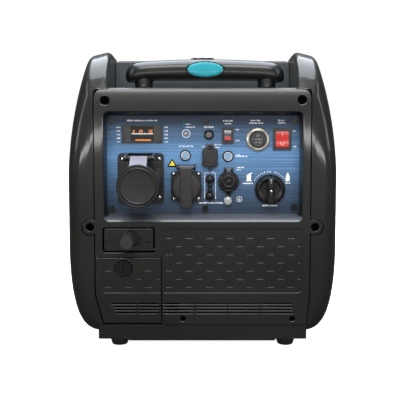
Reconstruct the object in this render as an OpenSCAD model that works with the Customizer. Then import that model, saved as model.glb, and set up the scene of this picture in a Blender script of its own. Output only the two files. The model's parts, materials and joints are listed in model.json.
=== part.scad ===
// Portable inverter generator, closed case, control panel on one end.
// Millimetres. X to the right, front face towards -Y, Z up from the floor.

/* [Case] */
// width over the side covers
case_w = 438; // [400:1:480]
// overall length, socket lid to exhaust trim
overall_l = 605; // [580:1:640]
// height to the crest of the side covers
case_h = 492; // [470:1:510]
// thickness of the moulded covers
wall = 4; // [3:0.5:5]
// lower edge of the side covers above the floor
skirt_z = 34; // [28:1:40]
// half width of the front fascia
fascia_hw = 175; // [165:1:180]
// half width between the raised side arches
deck_hw = 152; // [145:1:158]
// top of the fascia and of the front deck
deck_z = 430; // [420:1:438]
// top of the raised centre cover
crown_z = 474; // [460:1:480]
// length of each handle recess
recess_l = 120; // [100:1:140]
// depth of the finger trough below the deck
trough_d = 24; // [15:1:30]

/* [Control panel] */
// how far the panel sits behind the fascia
panel_set = 36; // [30:1:42]
// panel plate thickness
panel_t = 2.5; // [2:0.5:4]
// panel recess width at the fascia
recess_w = 320; // [300:1:326]
// panel recess height at the fascia
recess_h = 178; // [165:1:185]
// height of the recess centre
recess_z = 305.5; // [300:0.5:312]
// length the three-phase socket stands off the panel
cee_l = 68.5; // [60:0.5:75]
// three-phase socket lid radius
cee_r = 34.5; // [30:0.5:38]
// household socket flange side
schuko_w = 50; // [48:1:52]
// fuel selector base radius
selector_r = 24; // [20:0.5:27]
// start button ring radius
start_r = 20; // [16:0.5:22]

/* [Service door] */
// left edge of the door
door_x0 = -174; // [-176:1:-165]
// right edge of the door
door_x1 = -67; // [-75:1:-60]
// top edge of the door
door_z1 = 157; // [150:1:165]
// door hinge height
door_pin_z = 51; // [50:0.5:54]
// lock knob radius
lock_r = 13.5; // [11:0.5:15]

/* [Texture] */
// honeycomb column pitch
hex_px = 16.5; // [14:0.5:20]
// honeycomb row pitch
hex_pz = 27; // [24:0.5:30]
// honeycomb pocket height
hex_h = 13.6; // [10:0.2:16]
// honeycomb pocket depth
hex_d = 0.8; // [0.5:0.1:1.5]
// ventilation slot height
slot_h = 2.2; // [1.5:0.1:3]
// ventilation slot pitch
slot_p = 5.1; // [4.5:0.1:6]

/* [Handle] */
// grip length
grip_l = 262; // [240:1:270]
// grip height
grip_h = 36; // [28:1:40]
// grip depth
grip_d = 38; // [28:1:42]
// grip centre behind the front face
grip_set = 52; // [45:1:60]

/* [Running gear] */
// crankshaft height
crank_z = 190; // [180:1:200]
// crankshaft radius
crank_r = 12.5; // [10:0.5:15]
// rotor radius
rotor_r = 84; // [70:1:90]
// running clearance on a radius
fit = 0.05; // [0.02:0.01:0.1]
// recoil rope radius
rope_r = 2; // [1.5:0.5:3]
// recoil rope travel
rope_l = 300; // [250:10:350]
// height of the recoil grip
pull_z = 250; // [240:1:260]

/* [Hidden] */
half_w = case_w / 2;
half_l = overall_l / 2;
front_y = -half_l + cee_l - panel_set;
rear_y = half_l - 6;
mid_y = (front_y + rear_y) / 2;
panel_y = front_y + panel_set;
seam = 0.4;
grip_top = 478.5;
grip_z = grip_top - grip_h / 2;
pull_y = -31;
pin_r = 2.5;
door_pin_y = front_y + wall;
cap_y = -58;
pan_hw = 170;
pan_z = 22;
base_top = 46;
floor_z = pan_z + wall + 0.2;
rear_h = 479;
lean_z = 385;

dark = [0.17, 0.17, 0.16];
black = [0.06, 0.06, 0.06];
steel = [0.7, 0.7, 0.72];

// ---- outline helpers ----
function bez(a, b, c, d, n) = [for (i = [0 : n]) let (t = i / n, u = 1 - t)
  u*u*u*a + 3*u*u*t*b + 3*u*t*t*c + t*t*t*d];
function flip(p) = [for (i = [len(p) - 1 : -1 : 0]) [-p[i][0], p[i][1]]];

// right half of the cross section, bottom to crest
function flank() = concat(
  bez([172, skirt_z], [203, skirt_z], [half_w - 2, 82], [half_w, 170], 9),
  bez([half_w, 300], [half_w, 350], [half_w - 8, 420], [half_w - 29, case_h - 16], 9),
  bez([half_w - 30.5, case_h - 13], [half_w - 32, case_h - 9.5], [half_w - 34, case_h - 7.8],
      [half_w - 39, case_h - 7], 4),
  [[deck_hw + 5, case_h]]);

module section_2d() {
  polygon(concat(flank(), flip(flank())));
}

// side view: crest line with a high arch at the front and a lower one behind
function end_arch(top) = bez([0, lean_z], [0, deck_z], [18, top], [90, top], 9);
function crest() = concat(
  [for (p = end_arch(case_h)) [front_y + p[0], p[1]]],
  bez([front_y + 110, case_h - 1], [front_y + 180, case_h - 9], [mid_y - 60, case_h - 20],
      [mid_y, case_h - 20], 7),
  bez([mid_y, case_h - 20], [mid_y + 60, case_h - 20], [rear_y - 180, rear_h - 3],
      [rear_y - 110, rear_h - 0.5], 7),
  [for (i = [9 : -1 : 0]) [rear_y - end_arch(rear_h)[i][0], end_arch(rear_h)[i][1]]]);
module side_2d() {
  toe = 16;
  polygon(concat(crest(),
    bez([rear_y, skirt_z + toe], [rear_y, skirt_z + 6], [rear_y - 6, skirt_z],
        [rear_y - toe, skirt_z], 4),
    bez([front_y + toe, skirt_z], [front_y + 6, skirt_z], [front_y, skirt_z + 6],
        [front_y, skirt_z + toe], 4)));
}

// plan view: soft vertical corners
module plan_2d() {
  c = bez([half_w, 28], [half_w, 10], [half_w - 12, 2], [half_w - 38, 0], 8);
  polygon(concat(
    [for (p = c) [p[0], front_y + p[1]]],
    [for (i = [len(c) - 1 : -1 : 0]) [-c[i][0], front_y + c[i][1]]],
    [for (p = c) [-p[0], rear_y - p[1]]],
    [for (i = [len(c) - 1 : -1 : 0]) [c[i][0], rear_y - c[i][1]]]));
}

// side view of an end plate: upright, then leaning back along the arch; d is the depth
function plate_line(top, d) = concat([[d, base_top]],
  [for (p = end_arch(top)) if (p[1] < deck_z + 25) [p[0] + d, p[1]]]);
module plate_2d(top) {
  back = plate_line(top, wall);
  polygon(concat(plate_line(top, 0), [for (i = [len(back) - 1 : -1 : 0]) back[i]]));
}

// extrusion along X or Y of a 2D shape drawn as (y, z) or (x, z)
module along_x(x0, x1) {
  translate([x0, 0, 0]) rotate([90, 0, 90]) linear_extrude(x1 - x0) children();
}
module along_y(y0, y1) {
  translate([0, y1, 0]) rotate([90, 0, 0]) linear_extrude(y1 - y0) children();
}
module box(a, b) {
  translate(a) cube([b[0] - a[0], b[1] - a[1], b[2] - a[2]]);
}
module rrect(x0, z0, x1, z1, r) {
  translate([x0 + r, z0 + r]) offset(r = r, $fn = 24) square([x1 - x0 - 2 * r, z1 - z0 - 2 * r]);
}
// cylinder along Y from y0 to y1 about (x, z)
module rod(x, z, r, y0, y1, n = 32) {
  translate([x, y1, z]) rotate([90, 0, 0]) cylinder(r = r, h = y1 - y0, $fn = n);
}
module cone(x, z, ra, rb, y0, y1, n = 32) {
  translate([x, y1, z]) rotate([90, 0, 0]) cylinder(r1 = rb, r2 = ra, h = y1 - y0, $fn = n);
}
module rod_x(y, z, r, x0, x1, n = 32) {
  translate([x0, y, z]) rotate([0, 90, 0]) cylinder(r = r, h = x1 - x0, $fn = n);
}

module body_block(inset) {
  intersection() {
    along_y(front_y - 1, rear_y + 1) offset(delta = -inset) section_2d();
    along_x(-half_w - 1, half_w + 1) offset(delta = -inset) side_2d();
    translate([0, 0, skirt_z - 1]) linear_extrude(case_h) offset(delta = -inset) plan_2d();
  }
}

// ---- covers ----
tab_x = 182;
tab_z = 207.5;
tab_r = 13;
cup_y = [-82, 20];
cup_z = [230, 272];
cup_d = 30;

// inner edge of a side cover; the foot of the seam leans in to toe
toe_r = 170;
toe_l = 163;
seam_z = 95;
module seam_2d(toe) {
  polygon([[-case_w, 0], [pan_hw + seam, 0], [pan_hw + seam, base_top], [toe + seam, base_top],
           [fascia_hw + seam, seam_z], [fascia_hw + seam, deck_z + seam],
           [-case_w, deck_z + seam]]);
}
module side_cover(s, toe) {
  difference() {
    union() {
      difference() {
        body_block(0);
        body_block(wall);
      }
      intersection() {
        body_block(0);
        box([deck_hw, front_y, deck_z], [deck_hw + wall, rear_y, case_h + 1]);
      }
      if (s > 0)
        box([half_w - cup_d - wall, cup_y[0] - wall, cup_z[0] - wall],
            [half_w - wall / 2, cup_y[1] + wall, cup_z[1] + wall]);
    }
    along_y(front_y - 9, rear_y + 9) seam_2d(toe);
    box([-case_w, front_y - 9, 0], [deck_hw + seam, rear_y + 9, case_h + 9]);
    for (x = [-tab_x, tab_x]) rod(x, tab_z, tab_r + seam, front_y - 9, front_y + 40);
    if (s > 0) {
      box([half_w - cup_d, cup_y[0], cup_z[0]], [half_w + 9, cup_y[1], cup_z[1]]);
      rod_x(pull_y, pull_z, rope_r + 1, half_w - cup_d - 9, half_w);
    }
  }
}
module right_cover() { color(dark) side_cover(1, toe_r); }
module left_cover() { color(dark) mirror([1, 0, 0]) side_cover(-1, toe_l); }

// honeycomb pocket
module hex_2d(x, z) {
  a = hex_px * 0.48;
  b = hex_px * 0.34;
  h = hex_h / 2 - 0.2;
  translate([x, z]) polygon([[-a, 0], [-b, h], [b, h], [a, 0], [b, -h], [-b, -h]]);
}
hex_x0 = -54.5;
hex_z0 = 195;
module honeycomb(i0, i1, zlo, zhi) {
  for (i = [i0 : i1], j = [0 : 4]) {
    odd = abs(i) % 2;
    z = hex_z0 - (j + odd / 2) * hex_pz;
    if (z + hex_h / 2 < zhi && z - hex_h / 2 > zlo)
      along_y(front_y - 1, front_y + hex_d) hex_2d(hex_x0 + i * hex_px, z);
  }
}
slot_z = 80;
module slots(x0, x1, step) {
  for (j = [0 : 3])
    box([x0 + j * step, front_y - 1, slot_z - j * slot_p],
        [x1, front_y + wall + 1, slot_z - j * slot_p + slot_h]);
}

// drafted pocket that frames the panel; grow thickens it outwards
recess_x = 1.2;
module panel_pocket(grow) {
  w = recess_w / 2 + grow;
  h = recess_h / 2 + grow;
  y0 = front_y - 1;
  y1 = panel_y;
  zd0 = 7;
  zd1 = 8;
  xd = 1.5;
  intersection() {
    along_y(y0, y1) rrect(recess_x - w, recess_z - h, recess_x + w, recess_z + h, 9 + grow);
    along_x(-half_w, half_w) polygon([[y0, recess_z - h], [y1, recess_z - h + zd0],
      [y1, recess_z + h - zd1], [y0, recess_z + h]]);
    linear_extrude(case_h) polygon([[recess_x - w, y0], [recess_x - w + xd, y1],
      [recess_x + w - xd, y1], [recess_x + w, y0]]);
  }
}

case_holes = [[-156.3, 412, 7.4], [159.5, 413, 7.4], [-tab_x, tab_z, 6.5], [tab_x, tab_z, 6.5]];
well_d = 9;
lpg_x0 = -161.8;
lpg_x1 = -77.3;
lpg_z0 = 165.6;
lpg_z1 = 207;
jamb_y = front_y + wall + 4;
jamb_t = 3;
lug_x = [-150, -97];
lug_w = 6;
module hinge_lugs() {
  for (x = lug_x) {
    rod_x(door_pin_y, door_pin_z, pin_r + 1.4, x, x + lug_w);
    box([x, door_pin_y + 1, door_pin_z - pin_r], [x + lug_w, jamb_y + 1, door_pin_z + pin_r]);
  }
}
module plate_outline() {
  intersection() {
    rrect(-fascia_hw, base_top, fascia_hw, deck_z, 12);
    polygon([[-fascia_hw, seam_z], [-fascia_hw, deck_z], [fascia_hw, deck_z],
             [fascia_hw, seam_z], [toe_r, base_top], [-toe_l, base_top]]);
  }
}
module front_fascia() color(dark) {
  difference() {
    union() {
      difference() {
        intersection() {
          along_y(front_y, front_y + 20) plate_outline();
          translate([0, front_y, 0]) along_x(-half_w, half_w) plate_2d(case_h);
        }
        honeycomb(0, 13, 99, 208);
        for (x = [-64.6, -10, 43, 96]) slots(x, x + 50, 0);
      }
      intersection() {
        panel_pocket(3);
        box([-half_w, front_y, 0], [half_w, panel_y, case_h]);
      }
      for (x = [-tab_x, tab_x]) rod(x, tab_z, tab_r, front_y + 0.3, front_y + wall);
      for (h = case_holes)
        rod(h[0], h[1], h[2] + 2, front_y + wall - 0.5, front_y + well_d + 3);
      // rebate behind the service door
      box([door_x0, front_y + wall - 0.5, door_z1 + 1], [-58, jamb_y + jamb_t, lpg_z0 - 1.5]);
      box([door_x1 + 1, front_y + wall - 0.5, base_top], [-58, jamb_y + jamb_t, lpg_z0 - 1.5]);
      box([door_x0, jamb_y, base_top], [-58, jamb_y + jamb_t, lpg_z0 - 1.5]);
      hinge_lugs();
    }
    panel_pocket(0);
    // service door opening, open at the left and below
    difference() {
      box([-case_w, front_y - 9, 0], [door_x1 + 0.6, jamb_y, door_z1 + 0.6]);
      hinge_lugs();
    }
    box([door_x0 + 10, front_y, base_top + 14], [door_x1 - 8, jamb_y + 9, door_z1 - 7]);
    rod_x(door_pin_y, door_pin_z, pin_r + fit, lug_x[0] - 1, lug_x[1] + lug_w + 1);
    along_y(front_y - 9, front_y + 40) rrect(lpg_x0, lpg_z0, lpg_x1, lpg_z1, 4);
    for (h = case_holes) {
      rod(h[0], h[1], h[2], front_y - 9, front_y + well_d);
      rod(h[0], h[1], h[2] * 0.45, front_y, front_y + well_d + 9);
    }
    for (x = [-31.9, 146.3]) rod(x, 56.2, 4.9, front_y - 9, front_y + 2);
  }
}

// screw positions, (x, z)
panel_holes = [[-148.8, 377.4], [5.8, 377.4], [151.7, 377.4], [-149.8, 231.1], [4.8, 232.3],
               [151.7, 234.3]];
// screw seated at the bottom of its well, with a hexagon socket
module screw(x, z, r, y, len) {
  difference() {
    union() {
      rod(x, z, r, y, y + 3);
      rod(x, z, r * 0.45, y + 2.5, y + len);
    }
    rod(x, z, r * 0.5, y - 1, y + 1.6, 6);
  }
}
module case_screws() color(black) {
  for (h = case_holes) screw(h[0], h[1], h[2] - 1, front_y + well_d - 3.1, 12);
  for (x = [-31.9, 146.3]) rod(x, 56.2, 4.2, front_y + 0.8, front_y + 2);
}

// panel plate
cee_x = -101.6;
cee_z = 282.6;
sch_x = -26.9;
sch_z = 269.2;
usb_x = 12.3;
usb_z = 317.5;
par_x = 12.2;
par_z = [281.1, 252.8];
dc_x = 43.1;
dc_z = 277.6;
sel_x = 111.6;
sel_z = 264;
sta_x = 91;
sta_z = 347;
pow_x = 131;
pow_z = 347.2;
eco_x = 41.5;
eco_z = 353.3;
res_x = 10.5;
res_z = 354.9;
acb = [-28.3, 320.6];
dcb = [42.2, 319.1];
ear_x = 41.8;
ear_z = 245.8;
module panel_cuts(y0, y1) {
  rod(cee_x, cee_z, 31, y0, y1);
  rod(sch_x, sch_z, 22, y0, y1);
  box([usb_x - 9, y0, usb_z - 11], [usb_x + 9, y1, usb_z + 11]);
  for (z = par_z) rod(par_x, z, 6, y0, y1);
  rod(dc_x, dc_z, 13, y0, y1);
  rod(sel_x, sel_z, 8, y0, y1);
  rod(sta_x, sta_z, 16, y0, y1);
  box([pow_x - 12, y0, pow_z - 15], [pow_x + 12, y1, pow_z + 15]);
  box([eco_x - 7, y0, eco_z - 10.5], [eco_x + 7, y1, eco_z + 10.5]);
  rod(res_x, res_z, 6.5, y0, y1);
  rod(acb[0], acb[1], 7, y0, y1);
  rod(dcb[0], dcb[1], 7, y0, y1);
  rod(ear_x, ear_z, 4.2, y0, y1);
  rod(-27, 356.7, 3.2, y0, y1);
  box([-131, y0, 342.5], [-67, y1, 369.5]);
}
module control_panel() color([0.22, 0.3, 0.42]) difference() {
  box([-161, panel_y + 0.1, 218], [163, panel_y + 0.1 + panel_t, 392]);
  panel_cuts(panel_y - 9, panel_y + 9);
  for (h = panel_holes) rod(h[0], h[1], 2.6, panel_y - 9, panel_y + 9, 24);
}
module panel_screws() color(black) {
  for (h = panel_holes) screw(h[0], h[1], 5.4, panel_y - 3.1, 9);
}

// top cover: two handle troughs and the raised centre
crown_y0 = front_y + recess_l;
crown_y1 = rear_y - recess_l;
function top_half(g) = [
  [wall + 8.6, deck_z - 1.5 - g], [20 - g * 0.6, deck_z + 2 - g], [26 - g * 0.6, deck_z - trough_d - g],
  [recess_l + g, deck_z - trough_d - g], [recess_l + 8 + g, crown_z - g],
  [recess_l + 70, crown_z + 4 - g]];
function top_line(g) = concat([for (p = top_half(g)) [front_y + p[0], p[1]]],
  [for (i = [5 : -1 : 0]) [rear_y - top_half(g)[i][0], top_half(g)[i][1]]]);
leg_x = [-97, 106];
leg_r = 15;
cap_r = 33;
module top_cover() color(dark) difference() {
  along_x(-deck_hw, deck_hw)
    polygon(concat(top_line(0), [for (i = [11 : -1 : 0]) top_line(wall)[i]]));
  translate([0, cap_y, 400]) cylinder(r = cap_r + 1.5, h = 100, $fn = 48);
}

// hard grip on two round legs
module grip_2d() {
  x0 = 4 - grip_l / 2;
  x1 = 4 + grip_l / 2;
  z0 = grip_top - grip_h;
  polygon(concat(
    bez([x0 + 34, z0], [x0 + 12, z0 - 3], [x0 - 1, z0 - 8], [x0, z0 + 8], 6),
    bez([x0 + 1, z0 + 14], [x0 + 3, grip_top - 8], [x0 + 14, grip_top - 4],
        [x0 + 40, grip_top - 3], 6),
    bez([-40, grip_top], [-10, grip_top + 0.5], [20, grip_top + 0.5], [48, grip_top], 4),
    bez([x1 - 40, grip_top - 3], [x1 - 14, grip_top - 4], [x1 - 3, grip_top - 8],
        [x1 - 1, z0 + 14], 6),
    bez([x1, z0 + 8], [x1 + 1, z0 - 8], [x1 - 12, z0 - 3], [x1 - 34, z0], 6)));
}
module handle_shape(y) {
  d = grip_d / 2;
  t = deck_z - trough_d;
  intersection() {
    along_y(y - d, y + d) grip_2d();
    along_x(-half_w, half_w) polygon(concat(
      bez([y - d, grip_z - 6], [y - d, grip_z + 12], [y - 10, grip_top + 1], [y, grip_top + 1], 6),
      bez([y, grip_top + 1], [y + 10, grip_top + 1], [y + d, grip_z + 12], [y + d, grip_z - 6], 6),
      bez([y + d, grip_z - 8], [y + d, grip_z - 20], [y + 8, grip_z - 26], [y, grip_z - 26], 4),
      bez([y, grip_z - 26], [y - 8, grip_z - 26], [y - d, grip_z - 20], [y - d, grip_z - 8], 4)));
  }
  for (x = leg_x) translate([x, y, t]) cylinder(r = leg_r, h = grip_z - t, $fn = 32);
}
badge_z = 462;
module front_handle() color(black) difference() {
  handle_shape(front_y + grip_set);
  along_y(front_y, front_y + grip_set - grip_d / 2 + 4.2) translate([4.5, badge_z])
    scale([1, 0.41]) circle(r = 33, $fn = 64);
}
module rear_handle() color(black) handle_shape(rear_y - grip_set);
module handle_badge() color([0.1, 0.62, 0.7]) difference() {
  along_y(front_y + grip_set - grip_d / 2 - 2, front_y + grip_set - grip_d / 2 + 4.2)
    translate([4.5, badge_z]) scale([1, 0.41]) circle(r = 32.6, $fn = 64);
  along_y(front_y, front_y + grip_set - grip_d / 2 - 1.2) difference() {
    translate([4.5, badge_z]) scale([1, 0.41]) circle(r = 31, $fn = 64);
    translate([4.5, badge_z]) scale([1, 0.39]) circle(r = 29, $fn = 64);
  }
}

// rear cover: outlet louvres and the exhaust window
exh = [52, 150];
module rear_cover() color(dark) difference() {
  intersection() {
    along_y(rear_y - 20, rear_y) plate_outline();
    translate([0, rear_y, 0]) mirror([0, 1, 0]) along_x(-half_w, half_w) plate_2d(rear_h);
  }
  for (j = [0 : 11], x = [-150, -48, 54])
    box([x, rear_y - 9, 236 + j * 12], [x + 94, rear_y + 9, 241 + j * 12]);
  rod(exh[0], exh[1], 34, rear_y - 9, rear_y + 9);
}
module exhaust_trim() color(steel) difference() {
  union() {
    rod(exh[0], exh[1], 33.6, rear_y - wall, rear_y + 3);
    rod(exh[0], exh[1], 40, rear_y + 0.2, rear_y + 3);
    cone(exh[0], exh[1], 24, 18, rear_y - 9, half_l);
  }
  rod(exh[0], exh[1], 13, rear_y - 20, half_l + 9);
  difference() {
    rod(exh[0], exh[1], 31, rear_y - wall - 9, rear_y + 2);
    rod(exh[0], exh[1], 26, rear_y - wall - 9, rear_y + 9);
  }
}

// base pan: open tray with a keel along the middle
foot_x = 140;
foot_y = [front_y + 48, rear_y - 48];
foot_r = 15;
keel_x = [-120, 118];
keel_h = 3;
module base_pan() color(dark) difference() {
  along_y(front_y + 2, rear_y - 2) polygon([[-pan_hw, pan_z], [keel_x[0] - 2, pan_z],
    [keel_x[0], pan_z - keel_h], [keel_x[1], pan_z - keel_h], [keel_x[1] + 2, pan_z],
    [pan_hw, pan_z], [pan_hw, base_top - 0.5], [-pan_hw, base_top - 0.5]]);
  box([-pan_hw + wall, front_y + 2 + wall, pan_z + wall],
      [pan_hw - wall, rear_y - 2 - wall, base_top + 9]);
  for (x = [-foot_x, foot_x], y = foot_y) translate([x, y, 0]) cylinder(r = 4, h = 60, $fn = 24);
  for (j = [0 : 9]) box([-90, 40 + j * 18, 10], [90, 48 + j * 18, 40]);
}
module rubber_feet() color(black)
  for (x = [-foot_x, foot_x], y = foot_y) translate([x, y, 0]) {
    cylinder(r1 = foot_r - 2, r2 = foot_r, h = 6, $fn = 32);
    translate([0, 0, 6]) cylinder(r = foot_r, h = pan_z - 6, $fn = 32);
    translate([0, 0, pan_z]) cylinder(r = 3.9, h = wall, $fn = 24);
  }

// service door and its quarter-turn lock
lock_x = -128.2;
lock_z = 139.2;
module service_door() color(dark) difference() {
  union() {
    difference() {
      along_y(front_y + 0.2, front_y + wall - 0.2) intersection() {
        rrect(door_x0, door_pin_z, door_x1, door_z1, 4);
        polygon([[door_x0, 92], [door_x0, door_z1], [door_x1, door_z1], [door_x1, door_pin_z],
                 [-162.4, door_pin_z]]);
      }
      honeycomb(-6, -1, 97, 158);
      slots(-148.5, -108.5, 3);
      slots(-104.7, -71, 0);
    }
    rod_x(door_pin_y, door_pin_z, pin_r, door_x0 + 14, door_x1 - 2);
    box([door_x0 + 16, front_y + 0.2, door_pin_z - 1.5],
        [door_x1 - 2, front_y + wall - 0.2, door_pin_z + 3]);
    rod(lock_x, lock_z, lock_r + 3, front_y + wall - 0.4, front_y + wall + 2);
  }
  // clearance round the hinge lugs
  for (x = lug_x) difference() {
    box([x - 1, front_y - 9, 0], [x + lug_w + 1, front_y + 40, door_pin_z + 8]);
    rod_x(door_pin_y, door_pin_z, pin_r, x - 2, x + lug_w + 2);
  }
  rod(lock_x, lock_z, lock_r + 0.3, front_y - 9, front_y + 3);
  rod(lock_x, lock_z, 5 + fit, front_y, front_y + 40);
}
module door_lock() color(black) difference() {
  union() {
    rod(lock_x, lock_z, lock_r - 0.3, front_y - 1.5, front_y + 2.7);
    rod(lock_x, lock_z, 5, front_y + 2, front_y + wall + 4.2);
    // latch bar behind the door
    box([lock_x - 3.5, front_y + wall + 2.2, lock_z - 6],
        [lock_x + 3.5, front_y + wall + 3.8, lock_z + 9]);
  }
  box([lock_x - 1.6, front_y - 9, lock_z - 10], [lock_x + 1.6, front_y + 1.2, lock_z + 10]);
}

// gas inlet
gas = [-120, 188];
module lpg_plate() color(dark) difference() {
  union() {
    along_y(front_y + 1.5, front_y + 8) rrect(lpg_x0 + 2.2, lpg_z0 + 2.4, lpg_x1 - 2.2, lpg_z1 - 2, 3);
    along_y(front_y + wall + 0.2, front_y + wall + 2)
      rrect(lpg_x0 - 5, lpg_z0 + 0.5, lpg_x1 + 5, lpg_z1 + 5, 3);
  }
  rod(gas[0] + 6, gas[1] + 1.5, 14.5, front_y - 9, front_y + 6.6);
  rod(gas[0], gas[1], 5.3, front_y, front_y + 20, 24);
  for (x = [-154.7, -86.1]) rod(x, 184.8, 3.4, front_y - 9, front_y + 3.5);
}
module lpg_nipple() color([0.72, 0.6, 0.3]) difference() {
  union() {
    rod(gas[0], gas[1], 5, front_y - 24, front_y + 30, 24);
    rod(gas[0], gas[1], 7.2, front_y + 1, front_y + 6.4, 6);
    rod(gas[0], gas[1], 8.5, front_y + 8.2, front_y + 13, 6);
  }
  rod(gas[0], gas[1], 3, front_y - 30, front_y + 26, 24);
}
module lpg_cap() color(black) difference() {
  union() {
    rod(gas[0], gas[1], 10.2, front_y - 31, front_y - 4);
    rod(gas[0], gas[1], 11.4, front_y - 4, front_y + 0.6);
  }
  rod(gas[0], gas[1], 5 + fit, front_y - 25, front_y + 9, 24);
}

// ---- panel fittings ----
module display() color(black) difference() {
  union() {
    box([-132.5, panel_y - 2, 341], [-65.8, panel_y, 371]);
    box([-130.5, panel_y - 1, 343], [-67.5, panel_y + 18, 369]);
  }
  box([-117.5, panel_y - 9, 344], [-80.8, panel_y - 1, 368]);
}
module status_lamps() color([0.7, 0.2, 0.15]) {
  rod(-27, 356.7, 3, panel_y - 1, panel_y + 8, 24);
  rod(-27, 356.7, 3.6, panel_y - 1.6, panel_y - 0.1, 24);
}
// bush with a guided bore: outer rim, shank through the panel, bore, rim height
module bush(x, z, ro, rs, rb, t) difference() {
  union() {
    rod(x, z, ro, panel_y - t, panel_y);
    rod(x, z, rs, panel_y - 0.5, panel_y + 12);
  }
  rod(x, z, rb + fit, panel_y - 20, panel_y + 30);
}
res_r = 5;
sta_r = 14.2;
brk_r = 5.3;
module button_collars() color(black) {
  bush(res_x, res_z, 8.3, 6.4, res_r, 2.5);
  bush(sta_x, sta_z, start_r, 15.9, sta_r, 4.5);
  for (p = [acb, dcb]) bush(p[0], p[1], 9.2, 6.9, brk_r, 3);
}
module reset_button() color(black) {
  rod(res_x, res_z, res_r, panel_y - 5, panel_y + 14);
  rod(res_x, res_z, res_r + 2, panel_y + 14.6, panel_y + 17);
  rod(res_x, res_z, 2, panel_y + 13, panel_y + 16);
}
module start_button() color(black) difference() {
  rod(sta_x, sta_z, sta_r, panel_y - 3.4, panel_y + 16, 48);
  difference() {
    rod(sta_x, sta_z, 12.6, panel_y - 9, panel_y - 3);
    rod(sta_x, sta_z, 11.8, panel_y - 9, panel_y - 2);
  }
}
module breaker(p) color([0.55, 0.72, 0.85]) {
  rod(p[0], p[1], brk_r, panel_y - 4.2, panel_y + 17);
  rod(p[0], p[1], brk_r + 1.2, panel_y + 16.6, panel_y + 19);
}
module ac_breaker() { breaker(acb); }
module dc_breaker() { breaker(dcb); }

// rocker frame: outer size, opening, shank size
module frame(x, z, o, i, c) difference() {
  union() {
    box([x - o[0] / 2, panel_y - 2.6, z - o[1] / 2], [x + o[0] / 2, panel_y, z + o[1] / 2]);
    box([x - c[0] / 2, panel_y - 1, z - c[1] / 2], [x + c[0] / 2, panel_y + 16, z + c[1] / 2]);
  }
  box([x - i[0] / 2, panel_y - 9, z - i[1] / 2], [x + i[0] / 2, panel_y + 14, z + i[1] / 2]);
  rod_x(panel_y + rock_y, z, rock_r + fit, x - c[0] / 2 - 0.5, x + c[0] / 2 + 0.5, 24);
}
rock_y = 1;
rock_r = 1.5;
pow_i = [21.4, 27.4];
eco_i = [11.6, 18.8];
module rocker_frames() color(black) {
  frame(pow_x, pow_z, [30.4, 36], pow_i, [23.8, 29.8]);
  frame(eco_x, eco_z, [19, 27], eco_i, [13.8, 20.8]);
}
rocker_tilt = 7;
module rocker(x, z, i) {
  h = i[1] / 2 - 0.5;
  w = i[0] / 2 - 0.15;
  rod_x(panel_y + rock_y, z, rock_r, x - w - 1.1, x + w + 1.1, 24);
  translate([0, panel_y + rock_y, z]) rotate([-rocker_tilt, 0, 0])
    along_x(x - w, x + w) polygon([[-3.6, -h], [-4.8, -h / 2], [-5.2, 0], [-4.8, h / 2],
      [-3.6, h], [3, h - 1.5], [8, 3], [8, -3], [3, -h + 1.5]]);
}
module economy_rocker() color([0.35, 0.36, 0.38]) { rocker(eco_x, eco_z, eco_i); }
module power_rocker() color([0.85, 0.1, 0.08]) { rocker(pow_x, pow_z, pow_i); }

// three-phase socket
lid_y = -half_l;
lid_z = 278.3;
cee_pin = [panel_y - 38, 320];
ear_o = 22;
arm_w = 13.8;
module cee_housing() color(black) difference() {
  union() {
    along_y(panel_y - 6, panel_y) rrect(cee_x - 38, 240.6, cee_x + 38, 324.6, 7);
    rod(cee_x, cee_z, 30.8, panel_y - 1, panel_y + 40, 48);
    rod(cee_x, lid_z, 33, lid_y + 12, panel_y - 3, 48);
    for (s = [-1, 1]) {
      box([cee_x + s * ear_o - 2, cee_pin[0], 313], [cee_x + s * ear_o + 2, panel_y - 3, 324.6]);
      rod_x(cee_pin[0], cee_pin[1], 4.6, cee_x + s * ear_o - 2, cee_x + s * ear_o + 2);
    }
  }
  rod(cee_x, lid_z, 28, lid_y, panel_y - 6, 48);
  rod_x(cee_pin[0], cee_pin[1], pin_r + fit, cee_x - 40, cee_x + 40);
  for (a = [0 : 72 : 359])
    rod(cee_x + 16 * sin(a), lid_z + 16 * cos(a), 3, panel_y - 7, panel_y + 30, 16);
  for (x = [-30.5, 30.5], z = [-32, 32])
    rod(cee_x + x, cee_z + z, 4, panel_y - 9, panel_y - 4.5, 24);
}
module cee_lid() color(black) {
  rod(cee_x, lid_z, cee_r, lid_y + 2, lid_y + 11.6, 64);
  rod(cee_x, lid_z, 25, lid_y, lid_y + 3, 48);
  // arm from the lid up to the hinge
  along_x(cee_x - arm_w, cee_x + arm_w) polygon([[lid_y + 3, 300], [lid_y + 2.4, 308.6],
    [lid_y + 4.5, 311], [cee_pin[0] - 1, 324.4], [cee_pin[0] + 1, 324.4], [cee_pin[0] + 1, 316.4],
    [lid_y + 11.6, 312], [lid_y + 11.4, 300]]);
  rod_x(cee_pin[0], cee_pin[1], 4.6, cee_x - 19.5, cee_x + 19.5);
  rod_x(cee_pin[0], cee_pin[1], pin_r, cee_x - 24.5, cee_x + 24.5);
  box([cee_x - 11, lid_y + 3, 238.5], [cee_x + 1, lid_y + 9, 247]);
}

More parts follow.
